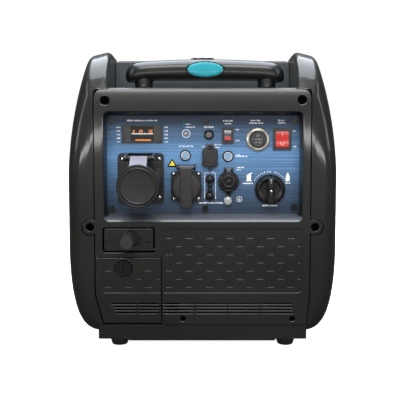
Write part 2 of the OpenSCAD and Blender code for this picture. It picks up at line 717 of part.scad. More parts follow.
// small lidded outlets share this hinge: barrel on the lid, ears on the frame
module barrel(x, y, z, r, w) {
  rod_x(y, z, r, x - w, x + w, 24);
  rod_x(y, z, 1.5, x - w - 3, x + w + 3, 24);
}
module ears(x, y, z, r, w, low) difference() {
  for (s = [-1, 1]) {
    box([x + s * (w + 1.9) - 1.5, panel_y - 1.8, z - low], [x + s * (w + 1.9) + 1.5, panel_y, z]);
    box([x + s * (w + 1.9) - 1.5, y, z - r], [x + s * (w + 1.9) + 1.5, panel_y, z + r]);
    rod_x(y, z, r, x + s * (w + 1.9) - 1.5, x + s * (w + 1.9) + 1.5, 24);
  }
  rod_x(y, z, 1.5 + fit, x - w - 9, x + w + 9, 24);
}
sch_pin = [panel_y - 9, 302];
sch_w = 12;
module schuko_socket() color(black) {
  difference() {
    union() {
      along_y(panel_y - 4, panel_y)
        rrect(sch_x - schuko_w / 2, sch_z - schuko_w / 2, sch_x + schuko_w / 2,
              sch_z + schuko_w / 2, 4);
      rod(sch_x, sch_z, 21.8, panel_y - 8, panel_y + 28, 48);
    }
    rod(sch_x, sch_z, 19.5, panel_y - 20, panel_y + 10, 48);
    for (x = [-9.5, 9.5]) rod(sch_x + x, sch_z, 2.6, panel_y, panel_y + 26, 16);
    for (x = [-20.5, 20.5], z = [-20.5, 20.5])
      rod(sch_x + x, sch_z + z, 2.4, panel_y - 9, panel_y - 3, 16);
  }
  ears(sch_x, sch_pin[0], sch_pin[1], 3.6, sch_w, 11);
}
module schuko_lid() color(black) {
  rod(sch_x, sch_z, 24.6, panel_y - 13, panel_y - 8.4, 48);
  box([sch_x - 10, panel_y - 15, 234.5], [sch_x + 10, panel_y - 12.4, 300]);
  barrel(sch_x, sch_pin[0], sch_pin[1], 3.6, sch_w);
  box([sch_x - 10, panel_y - 15, 292], [sch_x + 10, panel_y - 9, 303]);
}
usb_pin = [panel_y - 5, 336.5];
module usb_port() color(black) {
  difference() {
    union() {
      along_y(panel_y - 2, panel_y) rrect(usb_x - 12.5, usb_z - 15.5, usb_x + 12.5, usb_z + 15.5, 5);
      box([usb_x - 8.8, panel_y - 1, usb_z - 10.8], [usb_x + 8.8, panel_y + 16, usb_z + 10.8]);
    }
    for (z = [-6, 1]) box([usb_x - 6.5, panel_y - 9, usb_z + z], [usb_x + 6.5, panel_y + 12, usb_z + z + 5]);
  }
  ears(usb_x, usb_pin[0], usb_pin[1], 2.6, 3.5, 6);
}
module usb_cover() color(black) {
  along_y(panel_y - 8, panel_y - 2.3) rrect(usb_x - 13, usb_z - 16, usb_x + 13, usb_z + 13, 6);
  box([usb_x - 3.4, panel_y - 7, usb_z + 12], [usb_x + 3.4, panel_y - 3, usb_pin[1]]);
  // pull tab
  rod(usb_x, 299.5, 3.6, panel_y - 7, panel_y - 3.5, 24);
  box([usb_x - 3.6, panel_y - 7, 299.5], [usb_x + 3.6, panel_y - 3.5, 303]);
  barrel(usb_x, usb_pin[0], usb_pin[1], 2.6, 3.5);
}
module parallel_sockets() color(black) difference() {
  for (z = par_z) {
    rod(par_x, z, 5.9, panel_y - 1, panel_y + 12);
    rod(par_x, z, 7.6, panel_y - 1.5, panel_y);
  }
  for (z = par_z) rod(par_x, z, 2 + fit, panel_y - 9, panel_y + 10, 24);
}
module parallel_caps() color(black) {
  for (z = par_z) {
    rod(par_x, z, 2, panel_y - 4, panel_y + 8, 24);
    rod(par_x, z, 7.2, panel_y - 9, panel_y - 1.8);
  }
  box([par_x - 2.5, panel_y - 6, par_z[1]], [par_x + 2.5, panel_y - 4, par_z[0]]);
}
dc_pin = [panel_y - 6, 298];
module dc_outlet() color(black) {
  difference() {
    union() {
      rod(dc_x, dc_z, 16.4, panel_y - 3, panel_y);
      rod(dc_x, dc_z, 12.8, panel_y - 1, panel_y + 24);
    }
    rod(dc_x, dc_z, 10.5, panel_y - 9, panel_y + 20);
  }
  rod(dc_x, dc_z, 2.5, panel_y + 4, panel_y + 21, 24);
  ears(dc_x, dc_pin[0], dc_pin[1], 2.8, 4, 8);
}
module dc_cover() color(black) {
  rod(dc_x, dc_z, 17.4, panel_y - 8.5, panel_y - 3.3);
  rod(dc_x, dc_z, 12, panel_y - 10, panel_y - 8);
  box([dc_x - 3.8, panel_y - 8.5, dc_z + 15], [dc_x + 3.8, panel_y - 3.5, dc_pin[1]]);
  barrel(dc_x, dc_pin[0], dc_pin[1], 2.8, 4);
  // pull tab
  rod(dc_x, 257.5, 4.5, panel_y - 8, panel_y - 4, 24);
  box([dc_x - 4.5, panel_y - 8, 257.5], [dc_x + 4.5, panel_y - 4, 264]);
}
module earth_stud() color(steel) {
  rod(ear_x, ear_z, 4, panel_y - 13, panel_y + 12, 24);
  rod(ear_x, ear_z, 6.6, panel_y - 1.5, panel_y, 24);
}
module earth_nut() color([0.72, 0.6, 0.3]) difference() {
  rod(ear_x, ear_z, 6.7, panel_y - 10, panel_y - 1.8, 12);
  rod(ear_x, ear_z, 4 + fit, panel_y - 20, panel_y, 24);
}

// fuel selector
module selector_base() color(black) difference() {
  union() {
    rod(sel_x, sel_z, selector_r + 1.5, panel_y - 1.3, panel_y, 48);
    rod(sel_x, sel_z, 7.8, panel_y - 1, panel_y + 36);
  }
  rod(sel_x, sel_z, 4 + fit, panel_y - 9, panel_y + 20, 24);
}
module selector_knob() color(black) difference() {
  union() {
    rod(sel_x, sel_z, selector_r, panel_y - 6, panel_y - 1.6, 64);
    cone(sel_x, sel_z, selector_r - 4, selector_r, panel_y - 10, panel_y - 6, 64);
    along_y(panel_y - 24, panel_y - 8) rrect(sel_x - 6, sel_z - 22, sel_x + 6, sel_z + 22, 5.5);
    rod(sel_x, sel_z, 4, panel_y - 4, panel_y + 18, 24);
  }
  rod(sel_x, sel_z, 3.2, panel_y - 30, panel_y - 21, 24);
}

// ---- fuel system ----
neck_r = 22;
neck_z = 469;
tank_y = [crown_y0 + 14, crown_y1 - 14];
module fuel_cap() color(black) {
  translate([0, cap_y, 0]) {
    difference() {
      union() {
        translate([0, 0, 456]) cylinder(r = 27, h = 20, $fn = 48);
        translate([0, 0, 472]) cylinder(r = cap_r, h = 7, $fn = 64);
      }
      translate([0, 0, 450]) cylinder(r = neck_r + fit, h = 21, $fn = 48);
    }
    for (a = [0 : 45 : 179]) rotate(a) box([-21, -3, 478], [21, 3, 484]);
    translate([0, 0, 478]) cylinder(r = 17, h = 6, $fn = 48);
  }
}
module tank_profile(g) {
  polygon([[tank_y[0] + g, 346 + g], [tank_y[1] - g, 346 + g], [tank_y[1] - g, 440 - g],
    [tank_y[1] - 14 - g, 454 - g], [tank_y[0] + 14 + g, 454 - g], [tank_y[0] + g, 440 - g]]);
}
module fuel_tank() color([0.25, 0.25, 0.26]) difference() {
  union() {
    along_x(-142, 142) tank_profile(0);
    translate([0, cap_y, 450]) cylinder(r = neck_r, h = neck_z - 450, $fn = 48);
  }
  along_x(-140, 140) tank_profile(2);
  translate([0, cap_y, 440]) cylinder(r = neck_r - 2.5, h = 60, $fn = 48);
}

// ---- engine and generator ----
case_y = [62, 150];
head_a = 60;
head_y = 106;
module crankcase() color([0.6, 0.6, 0.62]) difference() {
  union() {
    box([-78, case_y[0], 105], [78, case_y[1], 262]);
    rod(0, crank_z, 95, case_y[0], case_y[0] + 6, 64);
    translate([0, head_y, crank_z]) rotate([0, head_a, 0]) cylinder(r = 42, h = 108, $fn = 48);
    for (x = [-60, 60], y = [case_y[0] + 14, case_y[1] - 14])
      translate([x, y, floor_z]) cylinder(r = 12, h = 110 - floor_z, $fn = 32);
  }
  box([-72, case_y[0] + 8, 112], [72, case_y[1] - 8, 256]);
  rod(0, crank_z, crank_r + fit, case_y[0] - 9, case_y[1] - 2);
}
module cylinder_head() color([0.62, 0.62, 0.64])
  translate([0, head_y, crank_z]) rotate([0, head_a, 0]) difference() {
    union() {
      translate([0, 0, 108.3]) cylinder(r = 36, h = 72, $fn = 48);
      for (i = [0 : 8]) box([-46, -42, 110 + i * 7], [46, 42, 113 + i * 7]);
      box([-40, -38, 172], [40, 38, 192]);
    }
    translate([0, 0, 100]) cylinder(r = 30, h = 70, $fn = 48);
  }
module rotor() color([0.35, 0.35, 0.37]) {
  rod(0, crank_z, crank_r, -20, case_y[1] - 4);
  for (y = [88, 112]) rod(0, crank_z, 40, y, y + 8, 48);
  rod(0, crank_z, rotor_r, -6, 0, 64);
  difference() {
    rod(0, crank_z, rotor_r, -1, 44, 64);
    rod(0, crank_z, rotor_r - 7, -9, 60, 64);
  }
  translate([0, 0, crank_z]) for (a = [0 : 30 : 359]) rotate([0, a, 0])
    box([38, -18, -1.5], [rotor_r - 2, -5, 1.5]);
}
module stator() color([0.62, 0.36, 0.2]) difference() {
  union() {
    rod(0, crank_z, rotor_r - 9.5, 8, 50, 64);
    rod(0, crank_z, 30, 8, case_y[0] - 0.1, 48);
  }
  rod(0, crank_z, crank_r + 3, -9, 90);
  for (a = [0 : 30 : 359]) translate([0, 0, crank_z]) rotate([0, a, 0])
    box([46, 0, -2], [90, 60, 2]);
}
// starter cage: front plate with a post, carried on three legs
legs = [[82, 238], [-82, 238], [0, 98]];
module recoil_housing() color(black) difference() {
  union() {
    rod(0, crank_z, 97, -50, -45, 64);
    rod(0, crank_z, 8, -46, -22);
    for (p = legs) box([p[0] - 5, -49, p[1] - 5], [p[0] + 5, case_y[0] - 0.2, p[1] + 5]);
  }
  for (a = [0 : 30 : 359]) translate([0, 0, crank_z]) rotate([0, a, 0])
    box([30, -60, -5], [72, -40, 5]);
}
module recoil_pulley() color(black) difference() {
  union() {
    rod(0, crank_z, pull_z - crank_z - rope_r - 0.5, -37, -25, 64);
    rod(0, crank_z, 14, -44.5, -22);
  }
  rod(0, crank_z, 8 + fit, -60, 0);
}
module recoil_rope() color([0.8, 0.8, 0.78])
  rod_x(pull_y, pull_z, rope_r, half_w - cup_d + 2 - rope_l, half_w - cup_d + 2, 16);
module recoil_grip() color(black) difference() {
  union() {
    rod_x(pull_y, pull_z, 7, half_w - cup_d + 0.6, half_w - 12);
    along_y(pull_y - 34, pull_y + 34) translate([half_w - 13, pull_z])
      offset(r = 4, $fn = 24) square([8, 18], center = true);
  }
  rod_x(pull_y, pull_z, rope_r, half_w - cup_d, half_w - cup_d + 2, 16);
}
module carburettor() color([0.62, 0.62, 0.64]) {
  rod(120, 262, 16, 148.4, 196);
  box([98, 160, 240], [142, 186, 282]);
  translate([120, 173, 214]) cylinder(r = 17, h = 26.5, $fn = 32);
}
module air_box() color(black) difference() {
  box([-70, 158, 276], [90, 262, 336]);
  box([-67, 161, 279], [87, 259, 333]);
}
module muffler() color(steel) difference() {
  union() {
    rod_x(216, 160, 46, -95, 84, 64);
    rod(exh[0], exh[1], 12, 240, rear_y + 1);
  }
  rod_x(216, 160, 44, -93, 82, 64);
  rod(exh[0], exh[1], 10, 235, rear_y + 9);
}
module inverter() color([0.55, 0.56, 0.58]) {
  box([-40, -210, floor_z], [158, -168, 196]);
  for (i = [0 : 16]) box([-36 + i * 12, -169, 26], [-33 + i * 12, -148, 190]);
}
module battery() color(black) {
  box([-162, -226, floor_z], [-62, -160, 120]);
  box([-164, -228, 108], [-60, -158, 124]);
  for (x = [-148, -76]) translate([x, -193, 124]) cylinder(r = 6, h = 12, $fn = 24);
}

left_cover();
right_cover();
front_fascia();
control_panel();
top_cover();
rear_cover();
base_pan();
rubber_feet();
front_handle();
rear_handle();
handle_badge();
service_door();
door_lock();
lpg_plate();
lpg_nipple();
lpg_cap();
panel_screws();
case_screws();
display();
status_lamps();
button_collars();
reset_button();
start_button();
rocker_frames();
economy_rocker();
power_rocker();
ac_breaker();
dc_breaker();
cee_housing();
cee_lid();
schuko_socket();
schuko_lid();
usb_port();
usb_cover();
parallel_sockets();
parallel_caps();
dc_outlet();
dc_cover();
earth_stud();
earth_nut();
selector_base();
selector_knob();
fuel_cap();
fuel_tank();
crankcase();
cylinder_head();
rotor();
stator();
recoil_housing();
recoil_pulley();
recoil_grip();
recoil_rope();
carburettor();
air_box();
muffler();
exhaust_trim();
inverter();
battery();
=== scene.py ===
"""Looks for the closed inverter generator: materials, moulded covers, panel print, light and camera."""

import json
import math
import random

import bmesh
import bpy
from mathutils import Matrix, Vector


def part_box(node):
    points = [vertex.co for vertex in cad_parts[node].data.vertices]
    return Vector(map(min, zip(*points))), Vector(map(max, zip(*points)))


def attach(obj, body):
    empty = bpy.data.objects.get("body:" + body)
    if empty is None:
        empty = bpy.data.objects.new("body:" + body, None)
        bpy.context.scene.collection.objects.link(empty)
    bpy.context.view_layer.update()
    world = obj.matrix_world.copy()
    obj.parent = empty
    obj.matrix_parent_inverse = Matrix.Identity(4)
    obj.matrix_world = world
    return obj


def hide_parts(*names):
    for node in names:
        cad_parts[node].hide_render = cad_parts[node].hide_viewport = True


MM = 0.001
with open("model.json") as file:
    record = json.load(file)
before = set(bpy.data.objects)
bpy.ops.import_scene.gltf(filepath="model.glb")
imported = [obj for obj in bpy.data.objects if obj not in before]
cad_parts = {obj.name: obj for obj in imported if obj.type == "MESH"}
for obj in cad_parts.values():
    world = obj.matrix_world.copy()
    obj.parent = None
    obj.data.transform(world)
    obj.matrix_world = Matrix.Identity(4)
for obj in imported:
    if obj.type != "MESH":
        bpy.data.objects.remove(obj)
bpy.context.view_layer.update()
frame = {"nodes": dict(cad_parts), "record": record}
NODES = frame["nodes"]


def edge(node, axis, side):
    """One face of a CAD node's box in millimetres: axis 0-2, side 0 low or 1 high."""
    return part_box(node)[side][axis] / MM


FRONT = edge("front_fascia", 1, 0)
REAR = edge("rear_cover", 1, 1)
PANEL = edge("control_panel", 1, 0)
HALF_W = edge("right_cover", 0, 1)
CREST = edge("right_cover", 2, 1)
SKIRT = edge("right_cover", 2, 0)
DECK_HW = edge("right_cover", 0, 0)
DECK = edge("front_fascia", 2, 1)
BASE_TOP = edge("front_fascia", 2, 0)
SEAM = 175.4

# the view: distance of the eye from the front plane and its height, in metres
EYE_DISTANCE = 1.25
EYE_HEIGHT = 0.451
EYE_TILT = 5.0
FOCAL_WIDTHS = 784 / 400
SENSOR = 36


# ---- materials ----
def node(tree, kind, x, **values):
    n = tree.nodes.new(kind)
    n.location = (x, 0)
    for key, value in values.items():
        setattr(n, key, value)
    return n


def surface(name, colour, rough, metal=0.0, grain=0.0, grain_size=900.0, coat=0.0, spread=0.15,
            glow=0.0, spec=0.5):
    """A procedural finish: broad tone change, roughness change and a fine grain in the bump."""
    mat = bpy.data.materials.new(name)
    mat.use_nodes = True
    tree = mat.node_tree
    shader = tree.nodes["Principled BSDF"]
    coord = node(tree, "ShaderNodeTexCoord", -1100)
    broad = node(tree, "ShaderNodeTexNoise", -900)
    broad.inputs["Scale"].default_value = 9.0
    broad.inputs["Detail"].default_value = 4.0
    tree.links.new(coord.outputs["Object"], broad.inputs["Vector"])
    ramp = node(tree, "ShaderNodeValToRGB", -650)
    low = [c * (1 - spread) for c in colour]
    high = [min(1.0, c * (1 + spread)) for c in colour]
    ramp.color_ramp.elements[0].color = (*low, 1)
    ramp.color_ramp.elements[1].color = (*high, 1)
    ramp.color_ramp.elements[0].position = 0.35
    ramp.color_ramp.elements[1].position = 0.65
    tree.links.new(broad.outputs["Fac"], ramp.inputs["Fac"])
    tree.links.new(ramp.outputs["Color"], shader.inputs["Base Color"])
    polish = node(tree, "ShaderNodeMapRange", -650)
    polish.inputs["To Min"].default_value = max(0.03, rough - 0.06)
    polish.inputs["To Max"].default_value = min(1.0, rough + 0.06)
    tree.links.new(broad.outputs["Fac"], polish.inputs["Value"])
    tree.links.new(polish.outputs["Result"], shader.inputs["Roughness"])
    fine = node(tree, "ShaderNodeTexNoise", -900)
    fine.inputs["Scale"].default_value = grain_size
    fine.inputs["Detail"].default_value = 3.0
    tree.links.new(coord.outputs["Object"], fine.inputs["Vector"])
    bump = node(tree, "ShaderNodeBump", -400)
    bump.inputs["Strength"].default_value = grain
    bump.inputs["Distance"].default_value = 0.0004
    tree.links.new(fine.outputs["Fac"], bump.inputs["Height"])
    tree.links.new(bump.outputs["Normal"], shader.inputs["Normal"])
    shader.inputs["Metallic"].default_value = metal
    shader.inputs["Specular IOR Level"].default_value = spec
    shader.inputs["Coat Weight"].default_value = coat
    shader.inputs["Coat Roughness"].default_value = 0.09
    if glow:
        shader.inputs["Emission Color"].default_value = (*colour, 1)
        shader.inputs["Emission Strength"].default_value = glow
    return mat


def brushed_panel(name):
    """Blue brushed sheet: level streaks over a painted light-and-shade fade, darker at the bottom, a painted
    highlight above the middle and painted shade at the top under the recess lip.
    """
    mat = bpy.data.materials.new(name)
    mat.use_nodes = True
    tree = mat.node_tree
    shader = tree.nodes["Principled BSDF"]
    coord = node(tree, "ShaderNodeTexCoord", -1300)
    stretch = node(tree, "ShaderNodeMapping", -1100)
    stretch.inputs["Scale"].default_value = (3.0, 3.0, 420.0)
    tree.links.new(coord.outputs["Object"], stretch.inputs["Vector"])
    streak = node(tree, "ShaderNodeTexNoise", -900)
    streak.inputs["Scale"].default_value = 2.0
    streak.inputs["Detail"].default_value = 6.0
    tree.links.new(stretch.outputs["Vector"], streak.inputs["Vector"])
    split = node(tree, "ShaderNodeSeparateXYZ", -1100)
    tree.links.new(coord.outputs["Object"], split.inputs["Vector"])
    height = node(tree, "ShaderNodeMapRange", -900)
    height.inputs["From Min"].default_value = 0.222
    height.inputs["From Max"].default_value = 0.387
    tree.links.new(split.outputs["Z"], height.inputs["Value"])
    painted_light_fade = node(tree, "ShaderNodeValToRGB", -650)
    # painted light and shade: darker at the bottom, painted highlight above the middle, painted shade at the
    # top under the recess lip
    stops = [(0.0, (0.026, 0.038, 0.060)), (0.25, (0.058, 0.108, 0.190)),
             (0.60, (0.150, 0.320, 0.58)), (0.80, (0.090, 0.17, 0.29)), (1.0, (0.038, 0.046, 0.070))]
    ramp = painted_light_fade.color_ramp
    ramp.elements[0].position = stops[0][0]
    ramp.elements[0].color = (*stops[0][1], 1)
    ramp.elements[1].position = stops[-1][0]
    ramp.elements[1].color = (*stops[-1][1], 1)
    for place, colour in stops[1:-1]:
        ramp.elements.new(place).color = (*colour, 1)
    tree.links.new(height.outputs["Result"], painted_light_fade.inputs["Fac"])
    tone = node(tree, "ShaderNodeMapRange", -650)
    tone.inputs["From Min"].default_value = 0.3
    tone.inputs["From Max"].default_value = 0.7
    tone.inputs["To Min"].default_value = 0.62
    tone.inputs["To Max"].default_value = 1.4
    tree.links.new(streak.outputs["Fac"], tone.inputs["Value"])
    mix = node(tree, "ShaderNodeVectorMath", -400, operation="SCALE")
    tree.links.new(painted_light_fade.outputs["Color"], mix.inputs[0])
    tree.links.new(tone.outputs["Result"], mix.inputs["Scale"])
    tree.links.new(mix.outputs["Vector"], shader.inputs["Base Color"])
    bump = node(tree, "ShaderNodeBump", -400)
    bump.inputs["Strength"].default_value = 0.15
    bump.inputs["Distance"].default_value = 0.0002
    tree.links.new(streak.outputs["Fac"], bump.inputs["Height"])
    tree.links.new(bump.outputs["Normal"], shader.inputs["Normal"])
    shader.inputs["Metallic"].default_value = 0.2
    shader.inputs["Roughness"].default_value = 0.42
    shader.inputs["Specular IOR Level"].default_value = 0.3
    return mat


M = {
    "cover": surface("cover plastic", (0.0118, 0.0112, 0.0098), 0.40, grain=0.18, grain_size=700, coat=0.6,
                     spec=0.3),
    "black": surface("black plastic", (0.007, 0.007, 0.008), 0.30, grain=0.12, coat=0.3, spec=0.35),
    "grip": surface("grip plastic", (0.0055, 0.0055, 0.006), 0.34, grain=0.15, coat=0.25),
    # light grey for the hinges: a painted highlight standing for the top light on dark hinge plastic
    "satin": surface("hinge painted highlight grey", (0.075, 0.078, 0.09), 0.22, grain=0.05, coat=0.4),
    "lid": surface("matt lid plastic", (0.014, 0.0135, 0.014), 0.42, grain=0.2, spec=0.4),
    # lower recess wall painted light grey: painted light on the same black plastic as the cover
    "sill": surface("sill painted light grey", (0.085, 0.092, 0.102), 0.34, grain=0.15, coat=0.3),
    # top cover painted lighter than the covers: painted light on upward faces of the same dark plastic
    "deck": surface("deck painted light grey", (0.028, 0.032, 0.036), 0.45, grain=0.18, grain_size=700),
    # other recess walls painted darker than the cover: painted shade
    "recess": surface("recess painted shade", (0.0045, 0.0045, 0.0045), 0.42, grain=0.15, coat=0.3, spec=0.3),
    # deep black: painted shade in the screw wells and on the case screws, and the black print border of the
    # warning mark
    "black_print_and_shade": surface("deep black", (0.002, 0.002, 0.002), 0.6, spec=0.0),
    # the arm's light lavender grey is a painted highlight on its upward slope; the lid plastic itself is dark
    "arm": surface("lavender arm painted highlight", (0.30, 0.29, 0.35), 0.25, grain=0.05, coat=0.4),
    "warm": surface("warm grey plastic", (0.030, 0.026, 0.024), 0.36, grain=0.1, spec=0.4),
    "gilt": surface("gilt chrome", (0.74, 0.70, 0.60), 0.3, metal=0.85),
    "pearl": surface("pearl ring", (0.72, 0.74, 0.76), 0.25, coat=0.4),
    # grey: print on the start key, and a painted highlight on the selector bar
    "grey_print_and_highlight": surface("grey print and highlight", (0.28, 0.28, 0.29), 0.5),
    # the glow on the pink signs is painted light; they are no lamp
    "pink_print": surface("pink print", (0.95, 0.5, 0.45), 0.4, glow=0.3),
    "gloss": surface("gloss plastic", (0.006, 0.006, 0.007), 0.26, grain=0.05, spec=0.4),
    "rubber": surface("soft rubber", (0.018, 0.018, 0.018), 0.62, grain=0.4, grain_size=500),
    "panel": brushed_panel("brushed blue panel"),
    "screw": surface("black screws", (0.006, 0.006, 0.006), 0.3, metal=0.3),
    "steel": surface("bright steel", (0.55, 0.55, 0.56), 0.28, metal=1.0, grain=0.1),
    "chrome": surface("chrome", (0.62, 0.63, 0.65), 0.14, metal=1.0),
    "alloy": surface("cast alloy", (0.42, 0.42, 0.43), 0.5, metal=0.9, grain=0.5, grain_size=350),
    "iron": surface("rotor iron", (0.16, 0.16, 0.17), 0.42, metal=0.9, grain=0.2),
    "copper": surface("copper coils", (0.45, 0.2, 0.08), 0.4, metal=0.9, grain=0.4),
    "brass": surface("brass", (0.62, 0.46, 0.2), 0.3, metal=1.0, grain=0.1),
    "teal": surface("teal badge", (0.008, 0.31, 0.37), 0.34, coat=0.15),
    # the glow on the red rocker is painted light; it is no lamp
    "red": surface("red rocker", (0.62, 0.035, 0.03), 0.22, coat=0.4, glow=0.15),
    "smoke": surface("smoke rocker", (0.10, 0.10, 0.11), 0.25, coat=0.3),
    "pale": surface("pale blue button", (0.25, 0.42, 0.62), 0.3, coat=0.3),
    "lamp": surface("lamp", (0.03, 0.015, 0.013), 0.2, coat=0.5),
    # the glow on the white print is painted light; print is no lamp
    "white": surface("white print", (0.88, 0.90, 0.93), 0.5, glow=0.3),
    "green": surface("green print", (0.03, 0.45, 0.10), 0.5),
    "blue": surface("blue print", (0.03, 0.20, 0.65), 0.5),
    # the glow on the yellow print is painted light; print is no lamp
    "yellow": surface("yellow print", (1.0, 0.78, 0.04), 0.5, glow=0.15),
    "amber": surface("amber digits", (0.9, 0.25, 0.03), 0.4, glow=0.35),
    "glass": surface("display window", (0.045, 0.048, 0.052), 0.10, coat=1.0),
    "rope": surface("rope", (0.5, 0.5, 0.48), 0.8, grain=0.8, grain_size=1500),
}

SLOT_FINISH = {
    "cover_plastic": "cover", "black_plastic": "black", "lid_plastic": "gloss",
    "soft_rubber": "rubber", "panel_blue": "panel", "black_screws": "screw",
    "bright_steel": "steel", "chrome_ring": "chrome", "cast_alloy": "alloy",
    "rotor_iron": "iron", "copper_coils": "copper", "brass_fitting": "brass",
    "teal_badge": "teal", "red_plastic": "red", "smoke_plastic": "smoke",
    "pale_blue_plastic": "pale", "lamp_red": "lamp", "tank_plastic": "black",
    "rope_fibre": "rope",
}


def even_shading(obj):
    """Weights the shading towards the large faces."""
    even = obj.modifiers.new("even", "WEIGHTED_NORMAL")
    even.keep_sharp = True
    even.weight = 80


def smooth_edges(obj, width, angle=35, segments=2):
    """Welds, rounds the edges sharper than the angle and shades smooth, weighted towards the large faces."""
    weld = obj.modifiers.new("weld", "WELD")
    weld.merge_threshold = 0.00002
    bevel = obj.modifiers.new("round", "BEVEL")
    bevel.width = width * MM
    bevel.segments = segments
    bevel.limit_method = "ANGLE"
    bevel.angle_limit = math.radians(angle)
    even_shading(obj)
    for face in obj.data.polygons:
        face.use_smooth = True


def dress_frame():
    """Gives every CAD node its finish, and all but the flat panel rounded edges."""
    for part in frame["record"]["subparts"]:
        obj = NODES[part["node"]]
        obj.data.materials.clear()
        obj.data.materials.append(M[SLOT_FINISH[part["material_slot"]]])
        if part["node"] != "control_panel":
            smooth_edges(obj, 0.5)
    # case screws painted deep black: painted shade in their wells
    NODES["case_screws"].data.materials[0] = M["black_print_and_shade"]
    # the lighter deck finish on the top cover is painted light
    NODES["top_cover"].data.materials[0] = M["deck"]


# ---- geometry helpers, all in millimetres ----
def finish_mesh(obj, mat, body, node_name=None):
    """Material, ride, and what the piece stands for."""
    obj.data.materials.clear()
    obj.data.materials.append(M[mat])
    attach(obj, body)
    if node_name:
        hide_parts(node_name)
    return obj


def mesh_object(name, verts, faces, smooth=True):
    mesh = bpy.data.meshes.new(name)
    mesh.from_pydata([tuple(c * MM for c in v) for v in verts], [], faces)
    mesh.validate()
    obj = bpy.data.objects.new(name, mesh)
    bpy.context.collection.objects.link(obj)
    for face in mesh.polygons:
        face.use_smooth = smooth
    return obj


def joined(name, parts):
    """Joins mesh objects into one."""
    meshes = bmesh.new()
    for obj in parts:
        meshes.from_mesh(obj.data)
    data = bpy.data.meshes.new(name)
    meshes.to_mesh(data)
    meshes.free()
    for obj in parts:
        bpy.data.objects.remove(obj)
    obj = bpy.data.objects.new(name, data)
    bpy.context.collection.objects.link(obj)
    return obj


def circle(x, z, r, n=32):
    return [(x + r * math.cos(math.tau * i / n), z + r * math.sin(math.tau * i / n))
            for i in range(n)]


def rounded(points, r, n=4):
    """A closed outline with each corner rounded by radius r (one value or one per corner)."""
    radii = r if isinstance(r, (list, tuple)) else [r] * len(points)
    out = []
    for i, p in enumerate(points):
        a = Vector(points[i - 1]) - Vector(p)
        b = Vector(points[(i + 1) % len(points)]) - Vector(p)
        size = min(radii[i], a.length * 0.49, b.length * 0.49)
        if size <= 0:
            out.append(tuple(p))
            continue
        start = Vector(p) + a.normalized() * size
        end = Vector(p) + b.normalized() * size
        for k in range(n + 1):
            t = k / n
            q = start * (1 - t) ** 2 + Vector(p) * 2 * t * (1 - t) + end * t * t
            out.append((q.x, q.y))
    return out


def rect(x0, z0, x1, z1, r=0.0, n=4):
    return rounded([(x0, z0), (x1, z0), (x1, z1), (x0, z1)], r, n)


def plate(name, outline, holes, y0, y1, bevel=0.5):
    """A flat plate between y0 and y1 with holes, every edge rounded."""
    curve = bpy.data.curves.new(name, "CURVE")
    curve.dimensions = "2D"
    curve.fill_mode = "BOTH"
    curve.bevel_depth = bevel * MM
    curve.offset = -bevel * MM
    curve.bevel_resolution = 2
    curve.extrude = max(0.0, (y1 - y0) / 2 - bevel) * MM
    for points in [outline] + list(holes):
        spline = curve.splines.new("POLY")
        spline.points.add(len(points) - 1)
        for k, (x, z) in enumerate(points):
            spline.points[k].co = (x * MM, z * MM, 0, 1)
        spline.use_cyclic_u = True
    flat = bpy.data.objects.new(name, curve)
    bpy.context.collection.objects.link(flat)
    bpy.context.view_layer.update()
    mesh = bpy.data.meshes.new_from_object(flat.evaluated_get(bpy.context.evaluated_depsgraph_get()))
    bpy.data.objects.remove(flat)
    for v in mesh.vertices:
        x, z, d = v.co
        v.co = (x, (y0 + y1) / 2 * MM - d, z)
    obj = bpy.data.objects.new(name, mesh)
    bpy.context.collection.objects.link(obj)
    for face in mesh.polygons:
        face.use_smooth = True
    mesh.set_sharp_from_angle(angle=math.radians(32))
    return obj


def turned(name, x, z, profile, n=48, squash=1.0):
    """A body of revolution about the Y direction; profile is (radius, y) from front to back."""
    verts = []
    faces = []
    rows = len(profile)
    for r, y in profile:
        for i in range(n):
            a = math.tau * i / n
            verts.append((x + r * math.cos(a), y, z + r * squash * math.sin(a)))
    for k in range(rows - 1):
        for i in range(n):
            j = (i + 1) % n
            faces.append((k * n + i, k * n + j, (k + 1) * n + j, (k + 1) * n + i))
    obj = mesh_object(name, verts, faces)
    obj.data.set_sharp_from_angle(angle=math.radians(40))
    return obj


def prism(name, outline, x0, x1, bevel=0.5):
    """A (y, z) outline extruded along X from x0 to x1, every edge rounded."""
    obj = plate(name, outline, [], x0, x1, bevel)
    for v in obj.data.vertices:
        across, deep, up = v.co
        v.co = (deep, across, up)
    obj.data.flip_normals()
    return obj


def roller(name, y, z, r, x0, x1, n=24, bevel=0.5):
    """A rod along X with rounded ends."""
    return prism(name, circle(y, z, r, n), x0, x1, bevel)


def block(name, low, high, bevel=0.4, segments=2):
    """A box with rounded edges."""
    work = bmesh.new()
    bmesh.ops.create_cube(work, size=1.0)
    for v in work.verts:
        v.co = [(low[k] + high[k]) / 2 * MM + v.co[k] * (high[k] - low[k]) * MM for k in range(3)]
    bmesh.ops.bevel(work, geom=work.edges[:], offset=bevel * MM, segments=segments,
                    affect="EDGES", profile=0.5)
    mesh = bpy.data.meshes.new(name)
    work.to_mesh(mesh)
    work.free()
    obj = bpy.data.objects.new(name, mesh)
    bpy.context.collection.objects.link(obj)
    for face in mesh.polygons:
        face.use_smooth = True
    return obj


def post(x, z, r, y0, y1, n=48):
    """A closed round solid along Y, used as a cutting tool."""
    ring = circle(x, z, r, n)
    verts = [(px, y, pz) for y in (y0, y1) for px, pz in ring]
    faces = [(n + k, n + (k + 1) % n, (k + 1) % n, k) for k in range(n)]
    faces += [tuple(range(n)), tuple(range(n, 2 * n))[::-1]]
    return mesh_object("tool", verts, faces)


